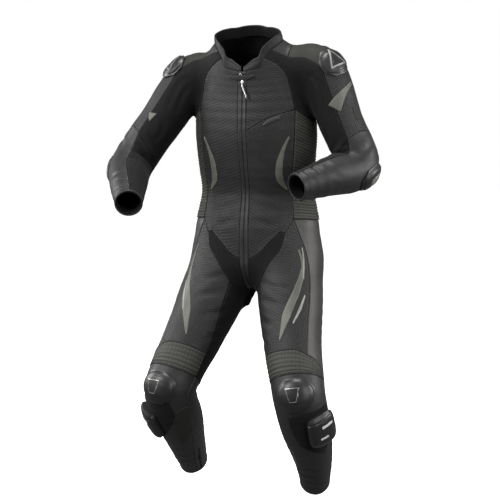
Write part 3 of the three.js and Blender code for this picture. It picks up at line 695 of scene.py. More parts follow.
def grid_faces(rows: int, columns: int, start: int = 0, flip: bool = False, closed: bool = False) -> Array:
    """Four-cornered faces of a grid of points.

    Args:
        rows: Number of rows of points.
        columns: Number of points in a row.
        start: Index of the first point.
        flip: Whether the faces point the other way.
        closed: Whether each row joins its own start.

    Returns:
        Corners, one face a row.
    """
    j, i = np.meshgrid(np.arange(rows - 1), np.arange(columns if closed else columns - 1), indexing="ij")
    a = start + j * columns + i
    b = start + j * columns + (i + 1) % columns
    quads = np.stack([a, a + columns, b + columns, b], axis=-1).reshape(-1, 4)
    return quads[:, ::-1] if flip else quads


def rail(length: float, step: float) -> Array:
    """Fractions along a side of a panel: fine at both ends, for the seam's roll, and even between.

    Args:
        length: The side's length.
        step: Spacing away from the ends.

    Returns:
        The fractions, from 0 to 1.
    """
    ends = np.array(SEAM_STEPS) / length
    count = max(2, round(length * (1 - 2 * ends[-1]) / step))
    middle = np.linspace(ends[-1], 1 - ends[-1], count + 1)
    return np.concatenate([ends[:-1], middle, 1 - ends[-2::-1]])


def refined(grid: Array, u0: Array, v0: Array, u: Array, v: Array) -> Array:
    """A grid's values at closer fractions, straight between the present ones.

    Args:
        grid: Rows of points.
        u0: Fractions of its columns.
        v0: Fractions of its rows.
        u: New fractions of columns.
        v: New fractions of rows.

    Returns:
        The new grid.
    """
    k = np.clip(np.searchsorted(v0, v, "right") - 1, 0, len(v0) - 2)
    t = ((v - v0[k]) / (v0[k + 1] - v0[k]))[:, None, None]
    grid = grid[k] * (1 - t) + grid[k + 1] * t
    k = np.clip(np.searchsorted(u0, u, "right") - 1, 0, len(u0) - 2)
    t = ((u - u0[k]) / (u0[k + 1] - u0[k]))[None, :, None]
    return grid[:, k] * (1 - t) + grid[:, k + 1] * t


@dataclass
class Patch:
    """Grid of points on the form between four lines, with its widths."""

    points: Array
    normals: Array
    u: Array
    v: Array
    width: float
    length: float

    @classmethod
    def between_lines(cls, top: Array, bottom: Array, left: Array, right: Array, step: Pair) -> "Patch":
        """Fills four lines: top and bottom run the same way across, left and right the same way down.

        Args:
            top: First row.
            bottom: Last row.
            left: First column.
            right: Last column.
            step: Spacing across and down.

        Returns:
            The patch.
        """
        width = (line_length(top) + line_length(bottom)) / 2
        length = (line_length(left) + line_length(right)) / 2
        u0, v0 = (np.linspace(0, 1, max(5, round(size / COARSE_CELL)) + 1) for size in (width, length))
        uu, vv = u0[None, :, None], v0[:, None, None]
        t, b, l, r = spaced(top, u0), spaced(bottom, u0), spaced(left, v0), spaced(right, v0)
        p = t[None] * (1 - vv) + b[None] * vv + l[:, None] * (1 - uu) + r[:, None] * uu
        p -= (t[0] * (1 - uu) + t[-1] * uu) * (1 - vv) + (b[0] * (1 - uu) + b[-1] * uu) * vv
        p[1:-1, 1:-1] = FORM.settle(p[1:-1, 1:-1], 4)
        for _ in range(EVEN_ROUNDS):
            p[1:-1, 1:-1] = FORM.settle((p[:-2, 1:-1] + p[2:, 1:-1] + p[1:-1, :-2] + p[1:-1, 2:]) / 4, 1)
        u, v = rail(width, step[0]), rail(length, step[1])
        p = refined(p, u0, v0, u, v)
        uu, vv = u[None, :, None], v[:, None, None]
        over, under = spaced(top, u) - p[0], spaced(bottom, u) - p[-1]
        near, far = spaced(left, v) - p[:, 0], spaced(right, v) - p[:, -1]
        p = p + over[None] * (1 - vv) + under[None] * vv + near[:, None] * (1 - uu) + far[:, None] * uu
        p[1:-1, 1:-1] = FORM.settle(p[1:-1, 1:-1], 2)
        return cls(p, FORM.normal(p), u, v, width, length)

    @classmethod
    def ribbon(cls, line: Array, widths: Array, columns: int = 5) -> "Patch":
        """A strip of changing width along a line on the form.

        Args:
            line: Middle of the strip.
            widths: Its width at each point of the line.
            columns: Points across.

        Returns:
            The patch.
        """
        line = FORM.settle(line)
        ahead = np.gradient(line, axis=0)
        side = unit(np.cross(ahead, FORM.normal(line)))
        u = np.linspace(0, 1, columns)
        p = FORM.settle(line[:, None] + side[:, None] * ((u - 0.5)[None, :, None] * widths[:, None, None]), 2)
        v = np.linspace(0, 1, len(line))
        return cls(p, FORM.normal(p), u, v, float(widths.max()), line_length(line))

    def finer(self, step: Pair) -> "Patch":
        """The same patch with closer points, straight between the present ones.

        Args:
            step: Spacing across and down.

        Returns:
            The finer patch.
        """
        u, v = rail(self.width, step[0]), rail(self.length, step[1])
        points, normals = (refined(grid, self.u, self.v, u, v) for grid in (self.points, self.normals))
        return Patch(points, unit(normals), u, v, self.width, self.length)

    def flat(self, stretch: float = 1.0) -> Pair:
        """Size of the cloth that it is cut from.

        Args:
            stretch: How much longer its relief makes it.

        Returns:
            Width and length in metres.
        """
        rows = np.linalg.norm(np.diff(self.points, axis=1), axis=-1).sum(1).max()
        columns = np.linalg.norm(np.diff(self.points, axis=0), axis=-1).sum(0).max()
        return float(rows) * MM * CUT_EASE, float(columns) * MM * CUT_EASE * stretch

    def raised(self, height: Array) -> Array:
        """The patch's points, moved outwards by heights."""
        return self.points + self.normals * height[..., None]

    def edge_distance(self) -> Array:
        """Distance of each point from the patch's nearest side.

        Returns:
            Millimetres, in the patch's rows.
        """
        across = np.minimum(self.u, 1 - self.u) * self.width
        down = np.minimum(self.v, 1 - self.v) * self.length
        return np.minimum(across[None, :], down[:, None])

    def places(self) -> tuple[Array, Array]:
        """Millimetres across and down the patch for each point."""
        return np.meshgrid(self.u * self.width, self.v * self.length)


def area_of(p: Array) -> float:
    """Area of a grid of points, in square millimetres."""
    a, b = p[1:, 1:] - p[:-1, :-1], p[1:, :-1] - p[:-1, 1:]
    return float(np.linalg.norm(np.cross(a, b), axis=-1).sum() / 2)


def shell(
    name: str, patch: Patch, outer: Array, base: Array, lining: bool = False, rise: Array | None = None
) -> Piece:
    """Thin closed shell with a cloth map, an edge attribute and a plain inside.

    Args:
        name: The piece's name.
        patch: Grid that it follows.
        outer: Its outer points.
        base: Its inner points.
        lining: Whether the inside takes the lining.
        rise: Share of its full height that each point of a raised pattern has.

    Returns:
        The new object.
    """
    rows, columns = outer.shape[:2]
    count = rows * columns
    facing = np.cross(outer[1:, :-1] - outer[:-1, :-1], outer[:-1, 1:] - outer[:-1, :-1])
    flip = bool((facing * patch.normals[:-1, :-1]).sum() < 0)
    faces = [grid_faces(rows, columns, 0, flip), grid_faces(rows, columns, count, not flip)]
    ring = np.concatenate([
        np.arange(columns - 1), np.arange(rows - 1) * columns + columns - 1,
        (rows - 1) * columns + np.arange(columns - 1, 0, -1), np.arange(rows - 1, 0, -1) * columns,
    ])
    following = np.roll(ring, -1)
    rim = np.stack([ring, following, following + count, ring + count], axis=-1)
    faces.append(rim[:, ::-1] if flip else rim)
    obj = make_object(name, np.vstack([outer.reshape(-1, 3), base.reshape(-1, 3)]), np.vstack(faces).tolist())
    place = np.tile(np.stack(patch.places(), axis=-1).reshape(-1, 2) * MM, (2, 1))
    corners = np.empty(len(obj.data.loops), np.int32)
    obj.data.loops.foreach_get("vertex_index", corners)
    layer = obj.data.uv_layers.new(name="cloth")
    layer.data.foreach_set("uv", place[corners].astype(np.float32).ravel())
    # The finish paints shade into each seam's groove from this distance, and lightens the worn ridge beside it
    note(obj, "edge", np.tile(np.minimum(patch.edge_distance() * MM, EDGE_REACH).reshape(-1), 2))
    # The rise share also lets the finish paint shade into the low places of a raised pattern
    if rise is not None:
        note(obj, "rise", np.concatenate([rise.reshape(-1), np.zeros(count)]))
    if lining:
        line_inside(obj, len(faces[0]) + np.arange(len(faces[1])))
    return obj


def tube(name: str, points: Array, closed: bool = False) -> Piece:
    """A closed section carried along a path, with its ends filled or joined.

    Args:
        name: The piece's name.
        points: Rows of points in millimetres, one row for each section.
        closed: Whether the last section joins the first.

    Returns:
        The new object.
    """
    rows, columns = points.shape[:2]
    count = rows * columns
    faces = (grid_faces(rows + int(closed), columns, closed=True) % count).tolist()
    if not closed:
        faces += [list(range(columns)), list(range(count - 1, count - columns - 1, -1))]
    obj = make_object(name, points.reshape(-1, 3), faces)
    fix_outward(obj)
    return obj


def blocks(name: str, points: Array, pattern: Sequence[Sequence[int]]) -> Piece:
    """Many small blocks as one piece.

    Args:
        name: The piece's name.
        points: Corners of each block in millimetres.
        pattern: Faces of the first block.

    Returns:
        The new object.
    """
    count, corners = points.shape[:2]
    faces = np.array(pattern) + corners * np.arange(count)[:, None, None]
    obj = make_object(name, points.reshape(-1, 3), faces.reshape(-1, faces.shape[-1]).tolist())
    fix_outward(obj)
    return obj


def sweep(name: str, path: Array, up: Array, profile: Array, closed: bool = False) -> Piece:
    """Strip with one section along a path.

    Args:
        name: The piece's name.
        path: Points in millimetres.
        up: Direction at each point that the section stands up in.
        profile: Closed section, pairs of side and height.
        closed: Whether the path joins its own start.

    Returns:
        The new object.
    """
    ahead = unit(np.roll(path, -1, 0) - np.roll(path, 1, 0))
    if not closed:
        ahead[0], ahead[-1] = unit(path[1] - path[0]), unit(path[-1] - path[-2])
    side = unit(np.cross(ahead, up))
    up = np.cross(side, ahead)
    points = path[:, None] + side[:, None] * profile[None, :, :1] + up[:, None] * profile[None, :, 1:]
    return tube(name, points, closed)


def round_profile(width: float, height: float, count: int, square: float = 1.0, base: float = 0.0) -> Array:
    """Closed oval or rounded section, as pairs of side and height.

    Args:
        width: Across.
        height: Up.
        count: Number of corners.
        square: 1 for an oval, less for a squarer section.
        base: Height of its bottom.

    Returns:
        The section's corners.
    """
    turn = np.arange(count) * 2 * math.pi / count
    cos, sin = np.cos(turn), np.sin(turn)
    x = np.sign(cos) * np.abs(cos) ** square * width / 2
    y = np.sign(sin) * np.abs(sin) ** square * height / 2 + base + height / 2
    return np.stack([x, y], axis=1)


class Value:
    """A node socket that takes part in sums, so that an expression makes its Math nodes."""

    def __init__(self, recipe: "Recipe", socket: bpy.types.NodeSocket) -> None:
        """Keeps the socket and the recipe that owns it."""
        self.recipe, self.socket = recipe, socket

    def maths(self, operation: str, *inputs: "Value | Number") -> "Value":
        """Result of a Math node."""
        node = self.recipe.node("ShaderNodeMath", {"operation": operation}, dict(enumerate(inputs)))
        return Value(self.recipe, node.outputs[0])

    def __add__(self, other: "Value | Number") -> "Value":
        """Sum."""
        return self.maths("ADD", self, other)

    __radd__ = __add__

    def __mul__(self, other: "Value | Number") -> "Value":
        """Product."""
        return self.maths("MULTIPLY", self, other)

    __rmul__ = __mul__

    def __sub__(self, other: "Value | Number") -> "Value":
        """Difference."""
        return self.maths("SUBTRACT", self, other)

    def __rsub__(self, other: "Value | Number") -> "Value":
        """Difference, the other way round."""
        return self.maths("SUBTRACT", other, self)

    def __truediv__(self, other: "Value | Number") -> "Value":
        """Quotient."""
        return self.maths("DIVIDE", self, other)

    def clamped(self) -> "Value":
        """The value kept from 0 to 1."""
        return self.maths("MINIMUM", self.maths("MAXIMUM", self, 0), 1)

    def wave(self, period: float) -> "Value":
        """Smooth wave from 0 to 1 with a period."""
        return self.maths("SINE", self * (2 * math.pi / period)) * 0.5 + 0.5

    def off_centre(self, period: float) -> "Value":
        """Distance from the middle of each period, in periods, squared."""
        offset = self.maths("FRACT", self / period) - 0.5
        return offset * offset


class Recipe:
    """A material in the making, with one shader and the nodes that feed it."""

    def __init__(self, name: str) -> None:
        """Starts a material with a bare shader."""
        self.material = bpy.data.materials.new(name)
        self.material.use_nodes = True
        self.tree = self.material.node_tree
        self.tree.nodes.clear()
        self.shader = self.node("ShaderNodeBsdfPrincipled")
        self.node("ShaderNodeOutputMaterial", inputs={"Surface": self.shader.outputs[0]})

    def node(self, kind: str, settings: dict | None = None, inputs: dict | None = None) -> bpy.types.Node:
        """Makes a node, with its settings first and then the values or links of its sockets.

        Args:
            kind: Node type.
            settings: Attributes of the node.
            inputs: Socket names or numbers, with values or links.

        Returns:
            The node.
        """
        made = self.tree.nodes.new(kind)
        for key, value in (settings or {}).items():
            setattr(made, key, value)
        for key, value in (inputs or {}).items():
            if isinstance(value, Value):
                self.tree.links.new(value.socket, made.inputs[key])
            elif isinstance(value, bpy.types.NodeSocket):
                self.tree.links.new(value, made.inputs[key])
            else:
                made.inputs[key].default_value = value
        return made

    def feed(self, **inputs: "Value | Number | tuple") -> None:
        """Sets the shader's sockets.

        Args:
            inputs: Values or links by socket name, with a _ for each space.
        """
        for key, value in inputs.items():
            socket = self.shader.inputs[key.replace("_", " ")]
            if isinstance(value, Value):
                self.tree.links.new(value.socket, socket)
            else:
                socket.default_value = value

    def noise(self, size: float, detail: float = 3) -> Value:
        """Noise from about 0 to 1 on Object coordinates.

        Args:
            size: Size of its spots in metres.
            detail: How many finer layers it has.

        Returns:
            The noise.
        """
        place = self.node("ShaderNodeTexCoord").outputs["Object"]
        made = self.node("ShaderNodeTexNoise", inputs={"Vector": place, "Scale": 1 / size, "Detail": detail})
        return Value(self, made.outputs["Fac"])

    def pebbles(self, size: float) -> Value:
        """Distance inside pebble-like cells on Object coordinates.

        Args:
            size: Size of the cells in metres.

        Returns:
            The distance.
        """
        place = self.node("ShaderNodeTexCoord").outputs["Object"]
        made = self.node("ShaderNodeTexVoronoi", inputs={"Vector": place, "Scale": 1 / size})
        return Value(self, made.outputs["Distance"])

    def cloth(self) -> tuple[Value, Value]:
        """Place on the piece's own cloth map.

        Returns:
            Metres across and down.
        """
        place = self.node("ShaderNodeUVMap", {"uv_map": "cloth"}).outputs["UV"]
        split = self.node("ShaderNodeSeparateXYZ", inputs={0: place})
        return Value(self, split.outputs[0]), Value(self, split.outputs[1])

    def attribute(self, name: str) -> Value:
        """A number stored for each vertex."""
        return Value(self, self.node("ShaderNodeAttribute", {"attribute_name": name}).outputs["Fac"])

    def mix(self, factor: Value, low: "tuple | Value", high: "tuple | Value") -> Value:
        """Colour between two colours."""
        made = self.node("ShaderNodeMix", {"data_type": "RGBA"}, {0: factor.clamped(), 6: low, 7: high})
        return Value(self, made.outputs[2])

    def bump(self, height: Value) -> None:
        """Feeds the shader's normal from heights in metres."""
        made = self.node("ShaderNodeBump", {}, {"Height": height, "Distance": 1.0, "Strength": 1.0})
        self.tree.links.new(made.outputs[0], self.shader.inputs["Normal"])


def colour(shade: Triple, light: float) -> tuple[float, ...]:
    """Linear colour of a shade.

    Args:
        shade: Red, green and blue on screen, 0 to 255.
        light: Factor for all three.

    Returns:
        The colour, with its opacity last.
    """
    c = np.array(shade) / 255
    linear = light * np.where(c <= 0.04045, c / 12.92, ((c + 0.055) / 1.055) ** 2.4)
    return *linear.tolist(), 1.0


class Pattern(Enum):
    """What covers a leather or cloth finish."""

    PLAIN = "plain"
    PERFORATED = "perforated"
    KNIT = "knit"
    RAISED = "raised"
    TWILL = "twill"
    HATCH = "hatch"
    HOOKS = "hooks"


class Finish:
    """A finish with a slot name, whose material is made at its first use."""

    name: str
    slot: str

    def material(self) -> bpy.types.Material:
        """The finish's one material."""
        return bpy.data.materials.get(self.name) or self._make()

    def _make(self) -> bpy.types.Material:
        """A bare material under the finish's name."""
        return Recipe(self.name).material


@dataclass(frozen=True)
class Hide(Finish):
    """Leather or cloth finish: colour, gloss, grain and what covers it, with painted shade in its seam grooves
    and, for a raised pattern, between its ribs. Its sizes are metres.
    """

    BLOTCH_SIZE = 0.06
    FINE_SIZE = 0.004
    CELL_SIZE = 0.0016
    HOOK_SIZE = 0.0012
    # Metres: width of the painted shade in a seam's groove, also the half width of the worn ridge beside it,
    # and that ridge's distance from the seam
    SEAM_WIDTH = 0.0016
    RIDGE_PLACE = 0.0028

    name: str
    slot: str
    shade: Triple
    roughness: float
    pattern: Pattern = Pattern.PLAIN
    grain: float = 0.00011
    pitch: float = 0.0052
    contrast: float = 0.5
    sheen: float = 0.0
    worn: float = 0.35

    def _make(self) -> bpy.types.Material:
        """Builds the nodes.

        Returns:
            The new material.
        """
        r = Recipe(self.name)
        blotch = r.noise(self.BLOTCH_SIZE) - 0.5
        fine = r.noise(self.FINE_SIZE, 5)
        cells = r.pebbles(self.CELL_SIZE)
        height = cells * self.grain * 1.6 + fine * self.grain
        light = blotch * 0.9 + fine * 0.25 + 0.38
        rough = self.roughness + blotch * 0.16 + fine * 0.08
        mark = self._mark(r)
        if mark is not None:
            light = light + (mark - 0.5) * self.contrast
            height = height + mark * self._depth()
            rough = rough - mark * 0.08
        if self.pattern is not Pattern.HOOKS:
            edge = r.attribute("edge")
            # Painted shade: within SEAM_WIDTH of a seam the colour is darkened, where the turned-in seam groove
            # lies
            groove_shade = (1 - edge / self.SEAM_WIDTH).clamped()
            apart = edge - self.RIDGE_PLACE
            ridge = (1 - apart.maths("ABSOLUTE", apart) / self.SEAM_WIDTH).clamped()
            light = light - groove_shade * 0.7 + ridge * self.worn * (fine * 1.6 - 0.3)
        r.feed(
            Base_Color=r.mix(light, colour(self.shade, 0.55), colour(self.shade, 1.5)),
            Roughness=rough.clamped(), Sheen_Weight=self.sheen, Sheen_Roughness=0.4, Specular_IOR_Level=0.36,
        )
        r.bump(height)
        return r.material

    def _depth(self) -> float:
        """How far the pattern stands out.

        Returns:
            Its height in metres.
        """
        return {
            Pattern.PERFORATED: 0.0006, Pattern.KNIT: 0.00022, Pattern.TWILL: 0.0004,
            Pattern.HATCH: 0.0003, Pattern.HOOKS: 0.0005, Pattern.RAISED: 0.0002,
        }.get(self.pattern, 0.0)

    def _mark(self, r: Recipe) -> Value | None:
        """The pattern that covers the finish.

        Args:
            r: The material in the making.

        Returns:
            The pattern from 0, low and dark, to 1, or None for a plain finish. In the raised pattern, the dark
            of the low places is painted shade.
        """
        if self.pattern is Pattern.PLAIN:
            return None
        u, v = r.cloth()
        if self.pattern is Pattern.PERFORATED:
            spot = (u + v).off_centre(self.pitch) + (u - v).off_centre(self.pitch)
            return ((spot - 0.08) * 12).clamped()
        if self.pattern is Pattern.KNIT:
            return u.wave(self.pitch) * 0.7 + v.wave(self.pitch * 0.6) * 0.3
        if self.pattern is Pattern.RAISED:
            # Painted shade: the rise share darkens the grooves between ribs and blocks and lightens their
            # crowns, besides setting the bump
            return r.attribute("rise") * 0.85 + (u + v).wave(self.pitch) * 0.15
        if self.pattern is Pattern.TWILL:
            return (u + v * 1.6).wave(self.pitch) * 0.6 + (u - v).wave(self.pitch * 0.5) * 0.4
        if self.pattern is Pattern.HATCH:
            return (u * 0.5 + v).wave(self.pitch)
        return r.noise(self.HOOK_SIZE, 2)


@dataclass(frozen=True)
class Hard(Finish):
    """Moulded plastic or metal finish. Its sizes are metres."""

    BLOTCH_SIZE = 0.03
    FINE_SIZE = 0.0012

    name: str
    slot: str
    shade: Triple
    roughness: float
    metallic: float = 0.0
    coat: float = 0.0
    scratch: float = 0.00003

    def _make(self) -> bpy.types.Material:
        """Builds the nodes.

        Returns:
            The new material.
        """
        r = Recipe(self.name)
        blotch, fine = r.noise(self.BLOTCH_SIZE), r.noise(self.FINE_SIZE, 4)
        light = blotch * 0.7 + fine * 0.3
        r.feed(
            Base_Color=r.mix(light, colour(self.shade, 0.75), colour(self.shade, 1.25)),
            Roughness=(self.roughness + (blotch - 0.5) * 0.18 + (fine - 0.5) * 0.1).clamped(),
            Metallic=self.metallic, Coat_Weight=self.coat, Coat_Roughness=0.2,
        )
        r.bump(fine * self.scratch)
        return r.material


LEATHER = Hide("charcoal_leather", "leather", (36, 35, 36), 0.46)
PERFORATED = Hide("perforated_leather", "perforated", (29, 28, 28), 0.58, Pattern.PERFORATED,
                  pitch=0.0094, contrast=1.8)
STRETCH = Hide("stretch_knit", "stretch", (4, 4, 4), 0.9, Pattern.KNIT,
               pitch=0.0022, contrast=0.4, sheen=0.02, worn=0)
# Ribbed panel: its raised pattern paints shade into the grooves between its ribs and blocks
RIBBED = Hide("ribbed_panel", "mesh", (48, 48, 44), 0.66, Pattern.RAISED, pitch=0.0014, contrast=1.6, worn=0)
TEXTURED = Hide("textured_panel", "mesh", (32, 32, 28), 0.7, Pattern.TWILL,
                pitch=0.009, contrast=1.3, worn=0.1)
GREY = Hide("warm_grey_leather", "grey", (54, 52, 50), 0.42)
COLLAR = Hide("collar_leather", "leather", (15, 15, 16), 0.54)
HATCHED = Hide("hatched_trim", "trim", (91, 93, 85), 0.42, Pattern.HATCH, pitch=0.0042, contrast=0.7)
REFLECTIVE = Hide("reflective_strip", "trim", (134, 136, 132), 0.38, Pattern.HATCH, pitch=0.003, contrast=0.5)
HOOKS = Hide("hook_field", "stretch", (6, 6, 6), 0.95, Pattern.HOOKS, contrast=0.5, sheen=0.02)
LINING = Hide("dark_lining", "stretch", (9, 9, 9), 0.95, Pattern.HOOKS, contrast=0.3)
GARAGE = replace(GREY, slot="leather")
THREAD = Hard("topstitch_thread", "leather", (58, 57, 55), 0.7)
SHELL = Hard("moulded_shell", "shell", (24, 24, 25), 0.44, coat=0.12)
INSERT = Hard("grey_insert", "metal", (138, 139, 134), 0.36, metallic=0.5, coat=0.2)
PALE = Hard("pale_insert", "shell", (205, 206, 202), 0.4)
METAL = Hard("zip_metal", "metal", (168, 168, 166), 0.28, metallic=1.0)
DARK_METAL = Hard("dark_zip_metal", "metal", (26, 26, 25), 0.55, metallic=0.4)


@dataclass(frozen=True)
class Crease:
    """A soft trough with low ridges beside it, along places on a limb."""

    limb: Limb
    marks: tuple[Pair, ...]
    depth: float
    width: float

    def line(self) -> Array:
        """Points of its middle on the form."""
        points = np.array([FORM.on(self.limb, s, a) for s, a in self.marks])
        return smooth_line(points, 16)


class CreaseField:
    """All creases together, as heights at points of the form."""

    REACH = 3.6

    def __init__(self, creases: Sequence[Crease]) -> None:
        """Works out each crease's line once."""
        self.rows = [(c, c.line()) for c in creases]

    def height(self, p: Array) -> Array:
        """Heights in millimetres at points.

        Args:
            p: Points on the form, in any grid.

        Returns:
            Their heights.
        """
        flat = p.reshape(-1, 3)
        h = np.zeros(len(flat))
        for crease, line in self.rows:
            reach = crease.width * self.REACH
            near = np.flatnonzero(np.all((flat > line.min(0) - reach) & (flat < line.max(0) + reach), axis=1))
            if not len(near):
                continue
            a, run = line[:-1], np.diff(line, axis=0)
            rel = flat[near][:, None] - a
            t = np.clip((rel * run).sum(-1) / (run**2).sum(-1), 0, 1)
            d = np.linalg.norm(rel - t[..., None] * run, axis=-1)
            k = d.argmin(1)
            pick = np.arange(len(near))
            along = (k + t[pick, k]) / len(run)
            fade = np.sin(np.pi * np.clip(along, 0, 1)) ** 0.7
            x = d[pick, k] / crease.width
            h[near] += crease.depth * fade * (0.45 * np.exp(-((x - 1.8) ** 2)) - np.exp(-x * x))
        return h.reshape(p.shape[:-1])


# Creases behind the knee: station, depth and width, slanted one way and the other in turn
KNEE_BACK_CREASES = [(3.45, 4.2, 8), (3.72, 5.2, 8), (3.98, 3.8, 7), (4.25, 2.4, 8)]

# Creases as marks of station and angle, then depth and width in millimetres
THIGH_CREASES = [
    (((0.62, -52), (0.86, -22), (0.98, 8)), 2.6, 9),
    (((0.95, -62), (1.2, -34), (1.36, -8)), 3.0, 10),
    (((1.22, -84), (1.52, -60), (1.72, -34)), 2.4, 10),
    (((1.6, -108), (1.9, -86), (2.1, -62)), 1.8, 9),
    (((0.72, 168), (0.98, 200), (1.2, 232)), 3.2, 12),
    (((1.1, 150), (1.3, 185), (1.42, 215)), 2.2, 11),
]
ANKLE_CREASES = [
    (((5.5, -62), (5.62, -18), (5.66, 30)), 1.8, 8),
    (((5.84, -60), (5.98, -8), (6.02, 48)), 3.0, 6),
    (((6.16, -70), (6.26, -15), (6.34, 55)), 3.6, 6),
    (((6.42, -54), (6.52, 5), (6.62, 68)), 3.2, 6),
    (((6.7, -60), (6.78, -6), (6.82, 40)), 2.4, 5),
    (((5.9, 118), (6.0, 165), (6.1, 215)), 2.2, 7),
    (((6.35, 130), (6.42, 180), (6.38, 232)), 2.6, 7),
]
SLEEVE_CREASES = [
    (((2.3, 152), (2.44, 188), (2.5, 222)), 3.0, 8),
    (((2.6, 138), (2.76, 180), (2.78, 228)), 4.4, 8),
    (((2.86, 142), (2.98, 184), (3.02, 232)), 5.0, 7),
    (((3.14, 146), (3.22, 180), (3.3, 218)), 3.4, 8),
    (((1.95, 166), (2.2, 184), (2.42, 176)), 1.8, 9),
    (((3.5, 120), (3.62, 158), (3.66, 196)), 1.8, 9),
    (((4.0, 60), (4.14, 96), (4.22, 134)), 1.5, 9),
    (((4.42, 96), (4.5, 134), (4.58, 176)), 2.6, 6),
    (((4.66, 80), (4.74, 120), (4.8, 160)), 2.4, 5),
    (((4.5, -60), (4.62, -100), (4.66, -140)), 2.2, 6),
    (((2.6, 60), (2.72, 88), (2.94, 112)), 2.6, 9),
    (((0.72, 150), (1.2, 152), (1.85, 160)), 1.7, 9),
    (((0.9, 168), (1.35, 172), (1.8, 186)), 2.2, 9),
    (((0.9, 212), (1.3, 216), (1.75, 226)), 2.6, 10),
    (((0.8, -60), (1.2, -52), (1.6, -56)), 2.0, 11),
    (((1.6, -20), (2.0, -34), (2.3, -60)), 1.8, 10),
]
TRUNK_CREASES = [
    (((5.9, 9), (6.06, 22), (6.12, 40)), 1.3, 11),
    (((6.3, 7), (6.42, 20), (6.5, 36)), 1.6, 10),
    (((6.72, 8), (6.86, 20), (6.94, 30)), 1.8, 9),
    (((4.7, 16), (5.1, 24), (5.5, 30)), 1.0, 13),
    (((2.4, 40), (2.9, 44), (3.5, 46)), 1.1, 11),
    (((5.1, 178), (5.22, 156), (5.3, 132)), 2.2, 13),
    (((5.6, 176), (5.7, 152), (5.66, 128)), 2.6, 12),
    (((6.05, 172), (6.14, 150), (6.1, 130)), 1.8, 12),
    (((1.6, 168), (2.4, 158), (3.2, 150)), 1.4, 15),
    (((7.3, 150), (7.7, 146), (8.0, 156)), 1.8, 13),
]
# How each side's creases differ: shift of the leg's stations, and share of the ankle's depths
LEG_SHIFT = {Side.LEFT: 0.06, Side.RIGHT: -0.05}
ANKLE_SHARE = {Side.LEFT: 1.0, Side.RIGHT: 0.6}


def creases() -> list[Crease]:
    """The suit's main creases, as uneven as worn leather has them.

    Returns:
        All of them, side by side.
    """
    found = []
    for side in Side:
        leg, shift = FORM.legs[side], LEG_SHIFT[side]
        for k, (s, depth, width) in enumerate(KNEE_BACK_CREASES):
            lean = 0.08 * (-1) ** k
            marks = ((s + lean, 122 + 6 * k), (s + shift, 160), (s - lean, 205), (s, 238 - 9 * k))
            found.append(Crease(leg, marks, depth, width))
        for limb, rows, move, hand, share in (
            (leg, THIGH_CREASES, shift, 1, 1.0),
            (leg, ANKLE_CREASES, 0.0, 1, ANKLE_SHARE[side]),
            (FORM.sleeves[side], SLEEVE_CREASES, 0.0, 1, 1.0),
            (FORM.trunk, TRUNK_CREASES, 0.0, side.value, 1.0),
        ):
            for marks, depth, width in rows:
                places = tuple((s + move, hand * a) for s, a in marks)
                found.append(Crease(limb, places, depth * share, width))
    return found


class Skin:
    """Heights of the worn leather over the bare form."""

    def __init__(self) -> None:
        """Gathers the creases."""
        self.field = CreaseField(creases())

    def height(self, p: Array) -> Array:
        """Heights of the worn surface: creases and a slow unevenness.

        Args:
            p: Points on the form, in any grid.

        Returns:
            Their heights in millimetres.
        """
        x, y, z = p[..., 0], p[..., 1], p[..., 2]
        slow = 0.75 * np.sin(x / 31 + y / 47 + 1) * np.sin(z / 37 + x / 90)
        quick = 0.3 * np.sin(x / 12 + z / 17) * np.sin(y / 15 - z / 21)
        return self.field.height(p) + slow + quick

    def on(self, p: Array, lift: float) -> Array:
        """Points on the worn surface, lifted off it."""
        p = FORM.settle(p, 2)
        return p + FORM.normal(p) * (self.height(p) + lift)[..., None]


SKIN = Skin()


# Pitch of the ribs and blocks down a panel, and length of each across it
RIB_PITCH = 9.2
RIB_LENGTH = 8.4
BLOCK_PITCH = 8.8
BLOCK_LENGTH = 10.5


def seam_roll(edge: Array) -> Array:
    """Height near a panel's edge: turned in at the seam, with a slight roll beside it."""
    return 0.45 * np.exp(-(((edge - 3.6) / 2.2) ** 2)) - 1.4 * np.exp(-((edge / 1.1) ** 2))


class Relief(Enum):
    """Shape of a panel's surface."""

    SKIN = "skin"
    ACCORDION = "accordion"
    BLOCKS = "blocks"
    PLACKETS = "plackets"

    def rise(self, x: Array, y: Array) -> Array:
        """Share of the pattern's full height.

        Args:
            x: Millimetres across the panel.
            y: Millimetres down it.

        Returns:
            The shares, from 0 to 1.
        """
        if self is Relief.ACCORDION:
            turn = x + RIB_LENGTH / 2 * (np.floor(y / RIB_PITCH) % 2)
            split = np.abs(np.sin(np.pi * turn / RIB_LENGTH)) ** 0.3
            return np.abs(np.sin(np.pi * y / RIB_PITCH)) ** 0.6 * (0.4 + 0.6 * split)
        split = np.abs(np.sin(np.pi * x / BLOCK_LENGTH)) ** 0.35
        return np.abs(np.sin(np.pi * y / BLOCK_PITCH)) ** 0.45 * (0.25 + 0.75 * split)


